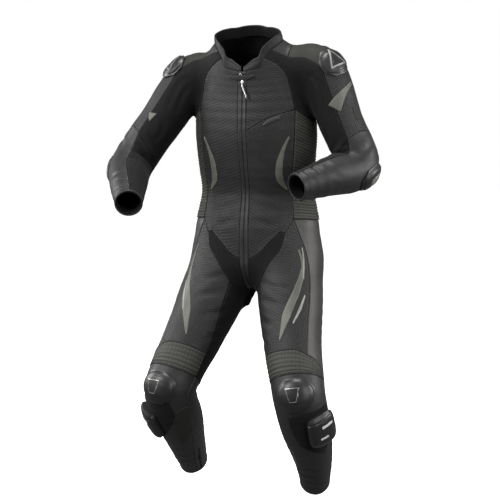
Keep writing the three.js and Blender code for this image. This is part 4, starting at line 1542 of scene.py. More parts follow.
@dataclass(frozen=True)
class Panel:
    """A panel of the suit: its finish and the seams round it, named in order."""

    name: str
    finish: Hide
    top: str
    bottom: str
    left: str
    right: str
    relief: Relief = Relief.SKIN
    step: Pair = (5.0, 5.0)
    tall: float = 0.0

    RELIEF_STEP = (6.0, 6.0)

    def build(self, seams: dict[str, Array], suffix: str = "") -> Piece:
        """Args:
            seams: Lines by name.
            suffix: End of the node's name.

        Returns:
            The piece.
        """
        lines = [chain(seams, text.split()) for text in (self.top, self.bottom, self.left, self.right)]
        patch = Patch.between_lines(*lines, self.RELIEF_STEP if self.tall else self.step)
        if self.tall:
            patch = patch.finer(self.step)
        edge = patch.edge_distance()
        skin = SKIN.height(patch.points)
        height = skin + seam_roll(edge)
        rise = None
        if self.relief is Relief.PLACKETS:
            across = np.abs(patch.u - 0.5) * patch.width
            height = height + 1.3 * np.clip(across - 1.1, 0, 1) - 0.7
        elif self.tall:
            rise = self.relief.rise(*patch.places()) * np.clip(edge / 3, 0, 1)
            height = height + rise * self.tall
        outer = patch.raised(height)
        inner = patch.raised((skin - 0.4 if self.tall else height) - WALL)
        name = self.name + suffix
        obj = shell(name, patch, outer, inner, lining=True, rise=rise)
        finish_piece(obj, self.finish, (name,))
        obj.name = f"cloth_{name}"
        width, length = patch.flat(max(1.0, area_of(outer) / area_of(patch.points)))
        area = min(area_of(outer) * MM * MM, width * length)
        width = min(width, CUT_LIMIT * area / length)
        LOG.info("%s: flat %.3f x %.3f m, area %.4f", name, width, length, area)
        return obj


SIDE_PANELS = [
    Panel("side_ribs", RIBBED, "armpit_front armpit_back", "hip", "side_front", "back_upper back_lower",
          Relief.ACCORDION, (2.2, 1.7), 2.4),
    Panel("groin_stretch", STRETCH, "band_top", "-zip_crotch", "band_outer band_end", "band_inner"),
    Panel("yoke", LEATHER, "collar_yoke", "yoke_end", "stretch_yoke", "back_yoke"),
    Panel("shoulder_mesh", TEXTURED, "yoke_end", "mesh_end", "stretch_mesh", "back_mesh"),
    Panel("sleeve_outer", PERFORATED, "mesh_end", "elbow_outer", "stretch_outer", "back_outer"),
    Panel("sleeve_stretch", STRETCH, "-armpit_front -raglan_front collar_stretch", "elbow_inner",
          "underarm", "stretch_yoke stretch_mesh stretch_outer", step=(4.5, 4.5)),
    Panel("sleeve_back", LEATHER, "raglan_back -armpit_back", "elbow_under",
          "back_yoke back_mesh back_outer", "underarm"),
    Panel("forearm_outer", LEATHER, "elbow_outer", "cuff_outer", "fore_a", "fore_b", step=(4.0, 4.0)),
    Panel("forearm_under", LEATHER, "elbow_under", "cuff_under", "fore_b", "fore_c"),
    Panel("forearm_inner", STRETCH, "elbow_inner", "cuff_inner", "fore_c", "fore_a", step=(4.0, 4.0)),
    Panel("thigh_front", PERFORATED, "-band_outer -hip_front", "knee_top", "thigh_inner", "thigh_front"),
    Panel("thigh_outer", GREY, "hip", "knee_top_outer knee_outer shin_outer_top", "thigh_front",
          "seat_side thigh_back"),
    Panel("thigh_inner", STRETCH, "band_end zip_bottom crotch", "-shin_inner_top",
          "thigh_inner knee_inner", "inseam"),
    Panel("thigh_back", LEATHER, "seat_fold", "shin_back_outer shin_back_inner", "thigh_back", "inseam"),
    Panel("knee_ribs", RIBBED, "knee_top knee_top_outer", "shin_top", "knee_inner", "knee_outer",
          Relief.BLOCKS, (2.2, 1.8), 2.2),
    Panel("shin_front", LEATHER, "shin_top", "hem_front", "shin_inner", "shin_outer", step=(4.5, 4.5)),
    Panel("calf_outer", LEATHER, "shin_outer_top shin_back_outer", "hem_outer", "shin_outer", "calf_back"),
    Panel("calf_inner", LEATHER, "shin_back_inner shin_inner_top", "hem_inner", "calf_back", "shin_inner"),
]

MIDDLE_PANELS = [
    Panel("front_zip", LEATHER, "zip_top", "r.zip_bottom -l.zip_bottom",
          "r.zip_chest r.zip_belly r.zip_crotch", "l.zip_chest l.zip_belly l.zip_crotch",
          Relief.PLACKETS, (1.2, 5.0)),
    Panel("front_right", PERFORATED, "r.collar_front", "-r.band_inner -r.band_top -r.hip_front",
          "r.zip_chest r.zip_belly", "r.raglan_front r.side_front"),
    Panel("chest_left", PERFORATED, "l.collar_front", "l.chest", "l.zip_chest", "l.raglan_front"),
    Panel("front_left", PERFORATED, "l.chest", "-l.band_inner -l.band_top -l.hip_front",
          "l.zip_belly", "l.side_front"),
    Panel("back_upper", LEATHER, "r.collar_back -l.collar_back", "back_line",
          "r.raglan_back r.back_upper", "l.raglan_back l.back_upper", step=(6.0, 6.0)),
    Panel("back_lower", LEATHER, "back_line", "hip_line", "r.back_lower", "l.back_lower", step=(6.0, 6.0)),
    Panel("seat", LEATHER, "hip_line", "r.seat_fold -l.seat_fold", "r.seat_side", "l.seat_side",
          step=(6.0, 6.0)),
]


@dataclass
class Cloth:
    """All sewn panels, and the seams that they share."""

    seams: dict[Side, dict[str, Array]] = field(default_factory=lambda: {side: seams_of(side) for side in Side})
    pieces: list[Piece] = field(default_factory=list)

    def middle(self) -> dict[str, Array]:
        """Seams of both sides, with the three lines that cross the middle.

        Returns:
            Lines by name, those of a side after its first letter and a point.
        """
        both = {f"{side.word[0]}.{name}": line for side in Side for name, line in self.seams[side].items()}
        trunk = FORM.trunk
        both["zip_top"] = np.array([FORM.on(trunk, s, a) for s, a in ((2.0, -5), (2.02, 0), (2.0, 5))])
        both["back_line"] = seam([FORM.on(trunk, 5, a) for a in (-121, 180, 121)])
        both["hip_line"] = seam([FORM.on(trunk, s, a) for s, a in ((6.72, -118), (6.8, 180), (6.72, 118))])
        return both

    def build(self) -> None:
        """Makes every panel."""
        middle = self.middle()
        self.pieces += [panel.build(middle) for panel in MIDDLE_PANELS]
        for side in Side:
            self.pieces += [panel.build(self.seams[side], f"_{side.word}") for panel in SIDE_PANELS]


def marked_line(limb: Limb, marks: Sequence[Sequence[float]], count: int) -> Array:
    """Smooth line on the form through stations and angles of a limb."""
    return smooth_line(np.array([FORM.on(limb, m[0], m[1]) for m in marks]), count)


@dataclass(frozen=True)
class Strip:
    """A flat piece that lies on the suit along marks of station, angle and width."""

    name: str
    finish: Hide
    marks: tuple[Triple, ...]
    thick: float = 1.3
    node: bool = False

    SPACING = 3.0
    FEWEST = 12

    def build(self, limb: Limb, suffix: str, mirror: float = 1.0) -> Piece:
        """Makes the strip.

        Args:
            limb: The limb that it lies on.
            suffix: End of its name.
            mirror: Factor for its angles.

        Returns:
            The piece.
        """
        marks = [(s, a * mirror, w) for s, a, w in self.marks]
        rough = marked_line(limb, marks, self.FEWEST)
        count = max(self.FEWEST, round(line_length(rough) / self.SPACING))
        knots = np.linspace(0, 1, len(marks))
        widths = np.interp(np.linspace(0, 1, count + 1), knots, [m[2] for m in marks])
        columns = max(5, round(max(widths) / self.SPACING) + 1)
        return self.lay(Patch.ribbon(marked_line(limb, marks, count), widths, columns), suffix)

    def lay(self, patch: Patch, suffix: str) -> Piece:
        """Lays the strip's shell over a patch.

        Args:
            patch: Its place and outline.
            suffix: End of its name.

        Returns:
            The piece.
        """
        name = self.name + suffix
        skin = SKIN.height(patch.points)
        body = self.thick * (0.35 + 0.65 * np.clip(patch.edge_distance() / 1.6, 0, 1) ** 0.5)
        obj = shell(name, patch, patch.raised(skin + body + 0.2), patch.raised(skin - 0.5))
        return finish_piece(obj, self.finish, (name,) if self.node else ())

    def fill(self, limb: Limb, sides: Sequence[Sequence[Pair]]) -> Piece:
        """Makes a four-sided field from its top, bottom, left and right marks."""
        lines = [marked_line(limb, marks, 24) for marks in sides]
        return self.lay(Patch.between_lines(*lines, (4.0, 4.0)), "")


@dataclass
class Trims:
    """Light trims, stripes, patches and hook fields that lie on the panels."""

    pieces: list[Piece] = field(default_factory=list)

    def build(self) -> None:
        """Makes them on both sides."""
        for side in Side:
            self._trims(side)
        self._left(FORM.sleeves[Side.LEFT], FORM.legs[Side.LEFT])
        self._right(FORM.sleeves[Side.RIGHT], FORM.legs[Side.RIGHT])
        garage = ((3.86, 20, 6), (3.78, 24, 12), (3.7, 31, 13), (3.66, 37, 9))
        self.pieces.append(Strip("chest_garage", GARAGE, garage, 2.2).build(FORM.trunk, ""))

    def _trims(self, side: Side) -> None:
        """The two hatched trims and the arm's edge, which both sides have.

        Args:
            side: The wearer's side.
        """
        thigh = ((0.1, 22, 6), (0.5, 29, 14), (1.0, 18, 22), (1.6, -5, 26), (2.2, -26, 4))
        ribs = ((4.2, 46, 6), (4.6, 39, 12), (5.05, 35, 21), (5.45, 36, 23), (5.85, 44, 5))
        edge = ((1.5, -46, 7), (2.0, -42, 8), (2.5, -46, 7))
        suffix = f"_{side.word}"
        self.pieces += [
            Strip("thigh_trim", HATCHED, thigh, node=True).build(FORM.legs[side], suffix),
            Strip("side_trim", HATCHED, ribs, node=True).build(FORM.trunk, suffix, side.value),
            Strip("arm_edge", LEATHER, edge, 1.6).build(FORM.sleeves[side], suffix),
        ]

    def _left(self, sleeve: Limb, leg: Limb) -> None:
        """Pieces of the left side alone.

        Args:
            sleeve: The left sleeve.
            leg: The left leg.
        """
        stripe = ((1.8, 134, 42), (1.69, 118, 27), (1.57, 94, 14), (1.46, 62, 9))
        patch = (
            [(1.86, 88), (1.88, 66)], [(2.14, 90), (2.14, 70)],
            [(1.86, 88), (2.14, 90)], [(1.88, 66), (2.14, 70)],
        )
        hooks = (
            [(4.24, -32), (4.2, 8), (4.18, 76)], [(5.06, -20), (5.3, 8), (5.44, 34)],
            [(4.24, -32), (4.6, -33), (5.06, -20)], [(4.18, 76), (4.9, 68), (5.44, 34)],
        )
        thigh = ((1.18, 30, 5), (1.5, 20, 9), (1.84, 4, 4))
        bead = ((0.02, 27, 4), (0.34, 30, 6), (0.8, 29, 4))
        shin = ((5.3, -50, 2), (5.8, -56, 3.4), (6.3, -58, 2))
        self.pieces += [
            Strip("sleeve_stripe_left", HATCHED, stripe).build(sleeve, ""),
            Strip("thigh_strip_left", REFLECTIVE, thigh).build(leg, ""),
            Strip("bead_strip_left", REFLECTIVE, bead, 1.8).build(leg, ""),
            Strip("shin_piping_left", REFLECTIVE, shin, 1.8).build(leg, ""),
            Strip("sleeve_patch_left", TEXTURED, ()).fill(sleeve, patch),
            Strip("hook_field_left", HOOKS, (), 1.6).fill(leg, hooks),
        ]

    def _right(self, sleeve: Limb, leg: Limb) -> None:
        """Pieces of the right side alone.

        Args:
            sleeve: The right sleeve.
            leg: The right leg.
        """
        stripe = ((2.06, 143, 34), (2.05, 135, 20), (2.03, 125, 4))
        patch = (
            [(4.28, -78), (4.28, -62), (4.34, -48)], [(5.2, -62), (5.4, -50), (5.46, -41)],
            [(4.28, -78), (4.7, -78), (5.2, -62)], [(4.34, -48), (4.7, -32), (5.46, -41)],
        )
        hooks = (
            [(4.06, -36), (3.96, 10), (4.05, 62)], [(5.0, -10), (5.24, 11), (5.36, 34)],
            [(4.06, -36), (4.4, -42), (5.0, -10)], [(4.05, 62), (4.7, 62), (5.36, 34)],
        )
        thigh = ((0.98, 24, 5), (1.3, 15, 9), (1.66, 2, 4))
        calf = ((5.9, -88, 7), (6.4, -86, 8), (6.9, -84, 8))
        self.pieces += [
            Strip("sleeve_stripe_right", HATCHED, stripe).build(sleeve, ""),
            Strip("thigh_strip_right", REFLECTIVE, thigh).build(leg, ""),
            Strip("calf_zip_tape_right", STRETCH, calf, 1.0).build(leg, ""),
            Strip("shin_patch_right", TEXTURED, ()).fill(leg, patch),
            Strip("hook_field_right", HOOKS, (), 1.6).fill(leg, hooks),
        ]


class Bench:
    """Hard pieces made by hand tools: a primitive, insets in edit mode, then modifiers."""

    @staticmethod
    def start(name: str, corners: int, size: Triple) -> Piece:
        """A prism that stands on its base.

        Args:
            name: The piece's name.
            corners: Number of its sides.
            size: Width, length and height in millimetres.

        Returns:
            The new object.
        """
        bpy.ops.object.select_all(action="DESELECT")
        bpy.ops.mesh.primitive_cylinder_add(
            vertices=corners, radius=0.5, depth=1, location=(0, 0, 0.5), rotation=(0, 0, math.pi / corners))
        obj = bpy.context.object
        obj.name = obj.data.name = name
        bpy.ops.object.transform_apply(location=True, rotation=True, scale=True)
        reach = max(v.co.x for v in obj.data.vertices), max(v.co.y for v in obj.data.vertices)
        obj.scale = (size[0] * MM / reach[0] / 2, size[1] * MM / reach[1] / 2, size[2] * MM)
        bpy.ops.object.transform_apply(location=True, rotation=True, scale=True)
        return obj

    @staticmethod
    def choose(obj: Piece, test: Callable[[bpy.types.MeshPolygon], bool]) -> None:
        """Selects faces and stays in edit mode.

        Args:
            obj: The piece.
            test: Says whether a face is chosen.
        """
        bpy.ops.object.mode_set(mode="EDIT")
        bpy.ops.mesh.select_mode(type="FACE")
        bpy.ops.mesh.select_all(action="DESELECT")
        bpy.ops.object.mode_set(mode="OBJECT")
        for face in obj.data.polygons:
            face.select = test(face)
        bpy.ops.object.mode_set(mode="EDIT")

    @staticmethod
    def soften_corners(obj: Piece, offset: float) -> None:
        """Rounds the standing edges.

        Args:
            obj: The piece.
            offset: Size of the rounding in millimetres.
        """
        bpy.ops.object.mode_set(mode="EDIT")
        bpy.ops.mesh.select_mode(type="EDGE")
        bpy.ops.mesh.select_all(action="DESELECT")
        bpy.ops.object.mode_set(mode="OBJECT")
        for edge in obj.data.edges:
            a, b = (obj.data.vertices[k].co for k in edge.vertices)
            edge.select = abs(a.z - b.z) > 1e-5
        bpy.ops.object.mode_set(mode="EDIT")
        bpy.ops.mesh.bevel(offset=offset * MM, segments=3, profile=0.5)
        bpy.ops.object.mode_set(mode="OBJECT")

    @classmethod
    def terraces(cls, obj: Piece, steps: Sequence[Pair]) -> None:
        """Insets the top again and again.

        Args:
            obj: The piece.
            steps: How far in, and how far up or down, in millimetres.
        """
        cls.choose(obj, lambda face: face.normal.z > 0.9)
        for inward, rise in steps:
            bpy.ops.mesh.inset(thickness=inward * MM, depth=rise * MM, use_even_offset=True)
        bpy.ops.object.mode_set(mode="OBJECT")

    @staticmethod
    def modify(obj: Piece, edge: float, levels: int) -> None:
        """Bevels the sharp edges and divides the surface, with both modifiers applied.

        Args:
            obj: The piece.
            edge: Width of the bevel in millimetres.
            levels: How often the surface is divided.
        """
        bevel = obj.modifiers.new("bevel", "BEVEL")
        bevel.width, bevel.segments, bevel.limit_method = edge * MM, 2, "ANGLE"
        divide = obj.modifiers.new("divide", "SUBSURF")
        divide.levels = divide.render_levels = levels
        for modifier in list(obj.modifiers):
            bpy.ops.object.modifier_apply(modifier=modifier.name)
        bpy.ops.object.shade_smooth_by_angle(angle=math.radians(40))


@dataclass(frozen=True)
class Shield:
    """A moulded piece on a limb: its place, outline and terraces."""

    name: str
    finish: Finish
    s: float
    angle: float
    size: Triple
    corners: int
    steps: tuple[Pair, ...]
    soft: float = 8.0
    lift: float = LAY_GAP
    shift: Pair = (0.0, 0.0)
    taper: float = 0.0
    edge: float = 0.6
    levels: int = 2
    node: bool = False

    def build(self, limb: Limb, suffix: str = "") -> Piece:
        """Makes the piece and wraps it onto the form.

        Args:
            limb: The limb that it sits on.
            suffix: End of its name.

        Returns:
            The piece.
        """
        name = self.name + suffix
        obj = Bench.start(name, self.corners, self.size)
        if self.soft:
            Bench.soften_corners(obj, self.soft)
        Bench.terraces(obj, self.steps)
        Bench.modify(obj, self.edge, self.levels)
        self._wrap(obj, limb)
        return finish_piece(obj, self.finish, (name,) if self.node else ())

    def _wrap(self, obj: Piece, limb: Limb) -> None:
        """Bends the finished mesh onto the form at its place.

        Args:
            obj: The piece.
            limb: The limb that it sits on.
        """
        place = FORM.on(limb, self.s, self.angle)
        up = FORM.normal(place)
        along = limb.section(self.s).along
        down = unit(along - up * along.dot(up))
        across = np.cross(down, up)
        x, y, z = (points_of(obj) / MM).T
        x = x * (1 - self.taper * y / self.size[1]) + self.shift[0]
        y = y + self.shift[1]
        base = FORM.settle(place + x[:, None] * across + y[:, None] * down - 6 * up)
        move_points(obj, (base + FORM.normal(base) * (z + self.lift)[:, None]) * MM)


# Terraces of the cups, the sliders and the inserts
KNEE_STEPS = ((2.5, 0.6), (6, 3.2), (9, 2.2), (9, 0.9), (6, 0.2))
CUP_STEPS = ((2.5, 0.5), (6, 3.4), (1, -1.0), (1.6, 0), (1, 1.0), (5, 1.3), (5, 0.6))
PUCK_STEPS = ((1.5, 0.6), (3, 3.4), (5, 3.0), (0.9, -1.0), (1.6, 0), (0.9, 1.0), (4, 1.3), (3, 0.5))
SHOULDER_INSERT_STEPS = ((4.4, 0.8), (0.8, -1.3), (1, 0))
ELBOW_INSERT_STEPS = ((2, 0.8), (2, 0.4))
KNEE_INSERT_STEPS = ((3.2, 0.8), (0.8, -1.3), (1, 0))


# Stations and angles of the hard pieces
SHOULDER = (1.1, 88)
ELBOW = (3.15, 32)
KNEE = (3.78, -6)
SLIDER = (4.72, 36)

SLEEVE_KIT = (
    Shield("shoulder_cup", SHELL, *SHOULDER, (106, 86, 4), 8, CUP_STEPS, 0, node=True),
    Shield("shoulder_insert", INSERT, *SHOULDER, (56, 38, 2.0), 3, SHOULDER_INSERT_STEPS, 5, 8.6, edge=0.4),
    Shield("elbow_cup", SHELL, *ELBOW, (84, 108, 3), 8, CUP_STEPS, 0, node=True),
    Shield("elbow_insert", INSERT, *ELBOW, (20, 44, 2.0), 4, ELBOW_INSERT_STEPS, 5, 7.6, edge=0.4),
)
LEG_KIT = (
    Shield("knee_cup", SHELL, *KNEE, (132, 100, 4), 8, KNEE_STEPS, 0, taper=0.22, node=True),
    Shield("knee_insert", INSERT, *KNEE, (30, 40, 1.8), 4, KNEE_INSERT_STEPS, 4, 9.6, (6, -2), 0.8, 0.4),
    Shield("knee_slider", SHELL, *SLIDER, (88, 100, 14), 4, PUCK_STEPS, 22, 1.6, node=True),
    Shield("slider_bar_a", PALE, *SLIDER, (30, 6, 1.2), 4, ((0.9, 0.3),), 1.2, 23.8, (-6, -17), 0, 0.2),
    Shield("slider_bar_b", PALE, *SLIDER, (20, 5, 1.2), 4, ((0.8, 0.3),), 1.2, 23.8, (6, 16), 0, 0.2),
)
CALF_PULL = Shield("calf_pull_right", DARK_METAL, 6.3, -86, (6, 24, 1.4), 8, ((0.9, 0.5),), 0, 3.0)


@dataclass
class HardShells:
    """Cups of the shoulders, elbows and knees, the knee sliders and their inserts."""

    pieces: list[Piece] = field(default_factory=list)

    def build(self) -> None:
        """Makes them on both limbs of each kind."""
        for side in Side:
            for limb, kit in ((FORM.sleeves[side], SLEEVE_KIT), (FORM.legs[side], LEG_KIT)):
                self.pieces += [shield.build(limb, f"_{side.word}") for shield in kit]
        self.pieces.append(CALF_PULL.build(FORM.legs[Side.RIGHT]))


@dataclass
class Collar:
    """Padded band round the neck, and the snap tab across the zip's top."""

    cloth: Cloth
    pieces: list[Piece] = field(default_factory=list)
    # Angles either side of the middle where the band ends, and millimetres over which its ends narrow and dip
    end_angle: float = 1.3
    narrow_reach: float = 3.0
    dip_reach: float = 38.0
    dip_share: float = 0.6
    tab_place: Pair = (2.24, -1)

    # The band's section from the seam up the outside and down the inside, as side and height,
    # then each corner's distance from a seam, and the first and last corner of the lining
    SECTION = (
        (-1.6, -7), (-0.2, 0.8), (0.9, 4), (1.3, 8), (1.35, 12), (1.2, 16), (0.9, 20), (0.2, 21.4),
        (0.7, 22.6), (0.7, 25), (-0.4, 26.9), (-1.8, 27.4), (-3.0, 26.6), (-3.7, 24.5), (-3.9, 20),
        (-4.2, 13), (-4.6, 2), (-4.4, -7),
    )
    SEAM_DISTANCE = (0, 1.6, 4, 8, 9, 8, 3, 0, 3, 5, 6, 6, 6, 6, 8, 8, 8, 4)
    LINED = (13, 17)

    def build(self) -> None:
        """Makes the band, the tab and the snap."""
        tab = Shield("collar_tab", COLLAR, *self.tab_place, (84, 21, 2.2), 6,
                     ((1.6, 0.9), (1.2, -0.4), (3, 0.5)), 3.5, node=True)
        snap = Shield("tab_snap", METAL, *self.tab_place, (7, 7, 1.4), 20,
                      ((1.1, 0.7), (0.8, -0.5), (0.8, 0.2)), 0, 3.8, (1, -6), 0, 0.3)
        band = self._band(self._base())
        flap = tab.build(FORM.trunk)
        self.pieces += [band, flap, snap.build(FORM.trunk)]

    def _base(self) -> Array:
        """The neck seam from the right front round the back to the left front.

        Returns:
            Its points.
        """
        names = ("collar_front", "collar_stretch", "collar_yoke", "collar_back")
        halves = {side: chain(self.cloth.seams[side], names) for side in Side}
        ends = [FORM.on(FORM.trunk, 2.01, angle)[None] for angle in (-self.end_angle, self.end_angle)]
        line = np.vstack([ends[0], halves[Side.RIGHT], halves[Side.LEFT][::-1][1:], ends[1]])
        return spaced(line, np.linspace(0, 1, 160))

    def _band(self, base: Array) -> Piece:
        """The band: a closed section carried along the neck seam.

        Args:
            base: Points of the neck seam.

        Returns:
            The piece.
        """
        neck = FORM.trunk.section(0.6)
        out = base - neck.centre
        out = unit(out - (out @ neck.along)[:, None] * neck.along)
        lean = 0.1 + 0.75 * np.maximum(0, -out[:, 1]) ** 3
        across, height = np.array(self.SECTION).T
        run = np.append(0, np.cumsum(np.linalg.norm(np.diff(base, axis=0), axis=1)))
        end = np.minimum(run, line_length(base) - run)
        narrow = 0.35 + 0.65 * np.clip(end / self.narrow_reach, 0, 1) ** 0.5
        wave = 0.5 * np.sin(run / 17) * np.sin(run / 41 + 1)
        side = (across + 1.5) * narrow[:, None] - 1.5 + wave[:, None] * np.clip(height / 12, 0, 1)
        dip = 1 - self.dip_share * np.clip(1 - end / self.dip_reach, 0, 1)
        rise = np.minimum(height, height * dip[:, None])
        points = base[:, None] - neck.along * rise[..., None]
        points = points + out[:, None] * (side - rise * lean[:, None])[..., None]
        obj = tube("collar_stand", points)
        # From these distances the finish paints shade along the band's seams and the groove near its top
        note(obj, "edge", np.tile(np.array(self.SEAM_DISTANCE), len(base)) * MM)
        column = np.tile(np.arange(len(across)), len(base) - 1)
        line_inside(obj, np.flatnonzero((column >= self.LINED[0]) & (column < self.LINED[1])))
        finish_piece(obj, COLLAR, ("collar_stand",))
        obj.name = "collar_band"
        return obj


@dataclass
class FrontClosure:
    """Tape, teeth, slider and pull of the front zip."""

    cloth: Cloth
    pieces: list[Piece] = field(default_factory=list)
    tape_width: float = 3.0
    pitch: float = 2.9
    place: Pair = (2.52, 0.5)
    tilt: float = 22.0
    ring_radius: float = 1.9
    wire: float = 0.9

    TOOTH = [(x, y, z) for z in (-0.5, 0.3) for x, y in ((-0.8, -0.9), (0.8, -0.9), (0.8, 0.9), (-0.8, 0.9))]
    TOOTH_FACES = ((3, 2, 1, 0), (4, 5, 6, 7), (0, 1, 5, 4), (1, 2, 6, 5), (2, 3, 7, 6), (3, 0, 4, 7))

    def build(self) -> None:
        """Makes the closure."""
        middle = self._middle()
        self._tape(middle)
        self._teeth(middle)
        self._slider_and_pull()

    def _middle(self) -> Array:
        """Middle line of the zip, from under the tab down to the crotch.

        Returns:
            Its points.
        """
        names = ("zip_chest", "zip_belly", "zip_crotch")
        lines = [chain(self.cloth.seams[side], names) for side in Side]
        t = np.linspace(0.05, 0.97, 260)
        return FORM.settle((spaced(lines[0], t) + spaced(lines[1], t)) / 2)

    def _tape(self, middle: Array) -> None:
        """Dark tape in the gap between the plackets.

        Args:
            middle: Middle line of the zip.
        """
        patch = Patch.ribbon(middle, np.full(len(middle), self.tape_width), 5)
        skin = SKIN.height(patch.points)
        obj = shell("zip_tape", patch, patch.raised(skin - 0.2), patch.raised(skin - 1.2))
        self.pieces.append(finish_piece(obj, STRETCH))

    def _teeth(self, middle: Array) -> None:
        """Teeth along the tape, one small block to each step, left and right in turn.

        Args:
            middle: Middle line of the zip.
        """
        count = round(line_length(middle) / self.pitch)
        line = spaced(middle, np.linspace(0, 1, count))
        normal = FORM.normal(line)
        ahead = unit(np.gradient(line, axis=0))
        side = np.cross(ahead, normal)
        corners = np.array(self.TOOTH)
        corners[4:, :2] *= 0.75
        offset = np.where(np.arange(count) % 2, 0.25, -0.25)
        base = line + normal * SKIN.height(line)[:, None] + side * offset[:, None]
        p = base[:, None] + corners[None, :, :1] * side[:, None] + corners[None, :, 1:2] * ahead[:, None]
        obj = blocks("zip_teeth", p + corners[None, :, 2:] * normal[:, None], self.TOOTH_FACES)
        self.pieces.append(finish_piece(obj, DARK_METAL))

    def _slider_and_pull(self) -> None:
        """Slider on the teeth, and the cylindrical pull that hangs from it on a ring."""
        place = FORM.on(FORM.trunk, *self.place)
        up = FORM.normal(place)
        across = unit(np.array([1.0, 0, 0]) - up * up[0])
        down = np.cross(across, up)
        slider = Bench.start("zip_slider", 8, (9, 12, 2.2))
        Bench.terraces(slider, ((1.0, 0.4), (1.6, 0.0), (0.4, 1.4), (0.8, 0.6)))
        Bench.modify(slider, 0.3, 2)
        self._put(slider, np.array([np.cross(down, up), down, up]), place + up * LAY_GAP)
        self.pieces.append(finish_piece(slider, METAL, ("zip_slider",)))
        tilt = math.radians(self.tilt)
        hang = down * math.cos(tilt) + across * math.sin(tilt)
        pivot = place + up * (LAY_GAP + 4.6) + down * 6.7
        pull = Bench.start("zip_pull", 20, (7.2, 7.2, 42))
        Bench.terraces(pull, ((0.5, 0.0), (0.9, -1.2), (0.8, 0.0)))
        Bench.choose(pull, lambda face: face.normal.z < -0.9)
        bpy.ops.mesh.inset(thickness=0.9 * MM, depth=-1.0 * MM)
        bpy.ops.object.mode_set(mode="OBJECT")
        Bench.modify(pull, 0.35, 1)
        self._put(pull, np.array([np.cross(hang, up), up, hang]), pivot + hang)
        finish_piece(pull, METAL, ("zip_pull",), "pull")
        self.pieces += [pull, self._ring(pivot, up, hang)]

    @staticmethod
    def _put(obj: Piece, axes: Array, origin: Array) -> None:
        """Places a mesh by its axes and origin, in its own points.

        Args:
            obj: The piece.
            axes: Its new directions, one a row.
            origin: Its new place in millimetres.
        """
        if np.linalg.det(axes) < 0:
            obj.data.flip_normals()
        move_points(obj, points_of(obj) @ axes + origin * MM)

    def _ring(self, pivot: Array, up: Array, hang: Array) -> Piece:
        """Wire ring that joins the pull to the slider.

        Args:
            pivot: Its middle, on the hinge's axis.
            up: Direction away from the chest.
            hang: Direction in which the pull hangs.

        Returns:
            The piece.
        """
        turn = np.linspace(0, 2 * math.pi, 24, endpoint=False)
        path = pivot + self.ring_radius * (np.outer(np.cos(turn), hang) + np.outer(np.sin(turn), up))
        side = np.repeat(np.cross(hang, up)[None], len(path), 0)
        obj = sweep("pull_ring", path, side, round_profile(self.wire, self.wire, 8, base=-self.wire / 2), True)
        return finish_piece(obj, METAL, body="pull")


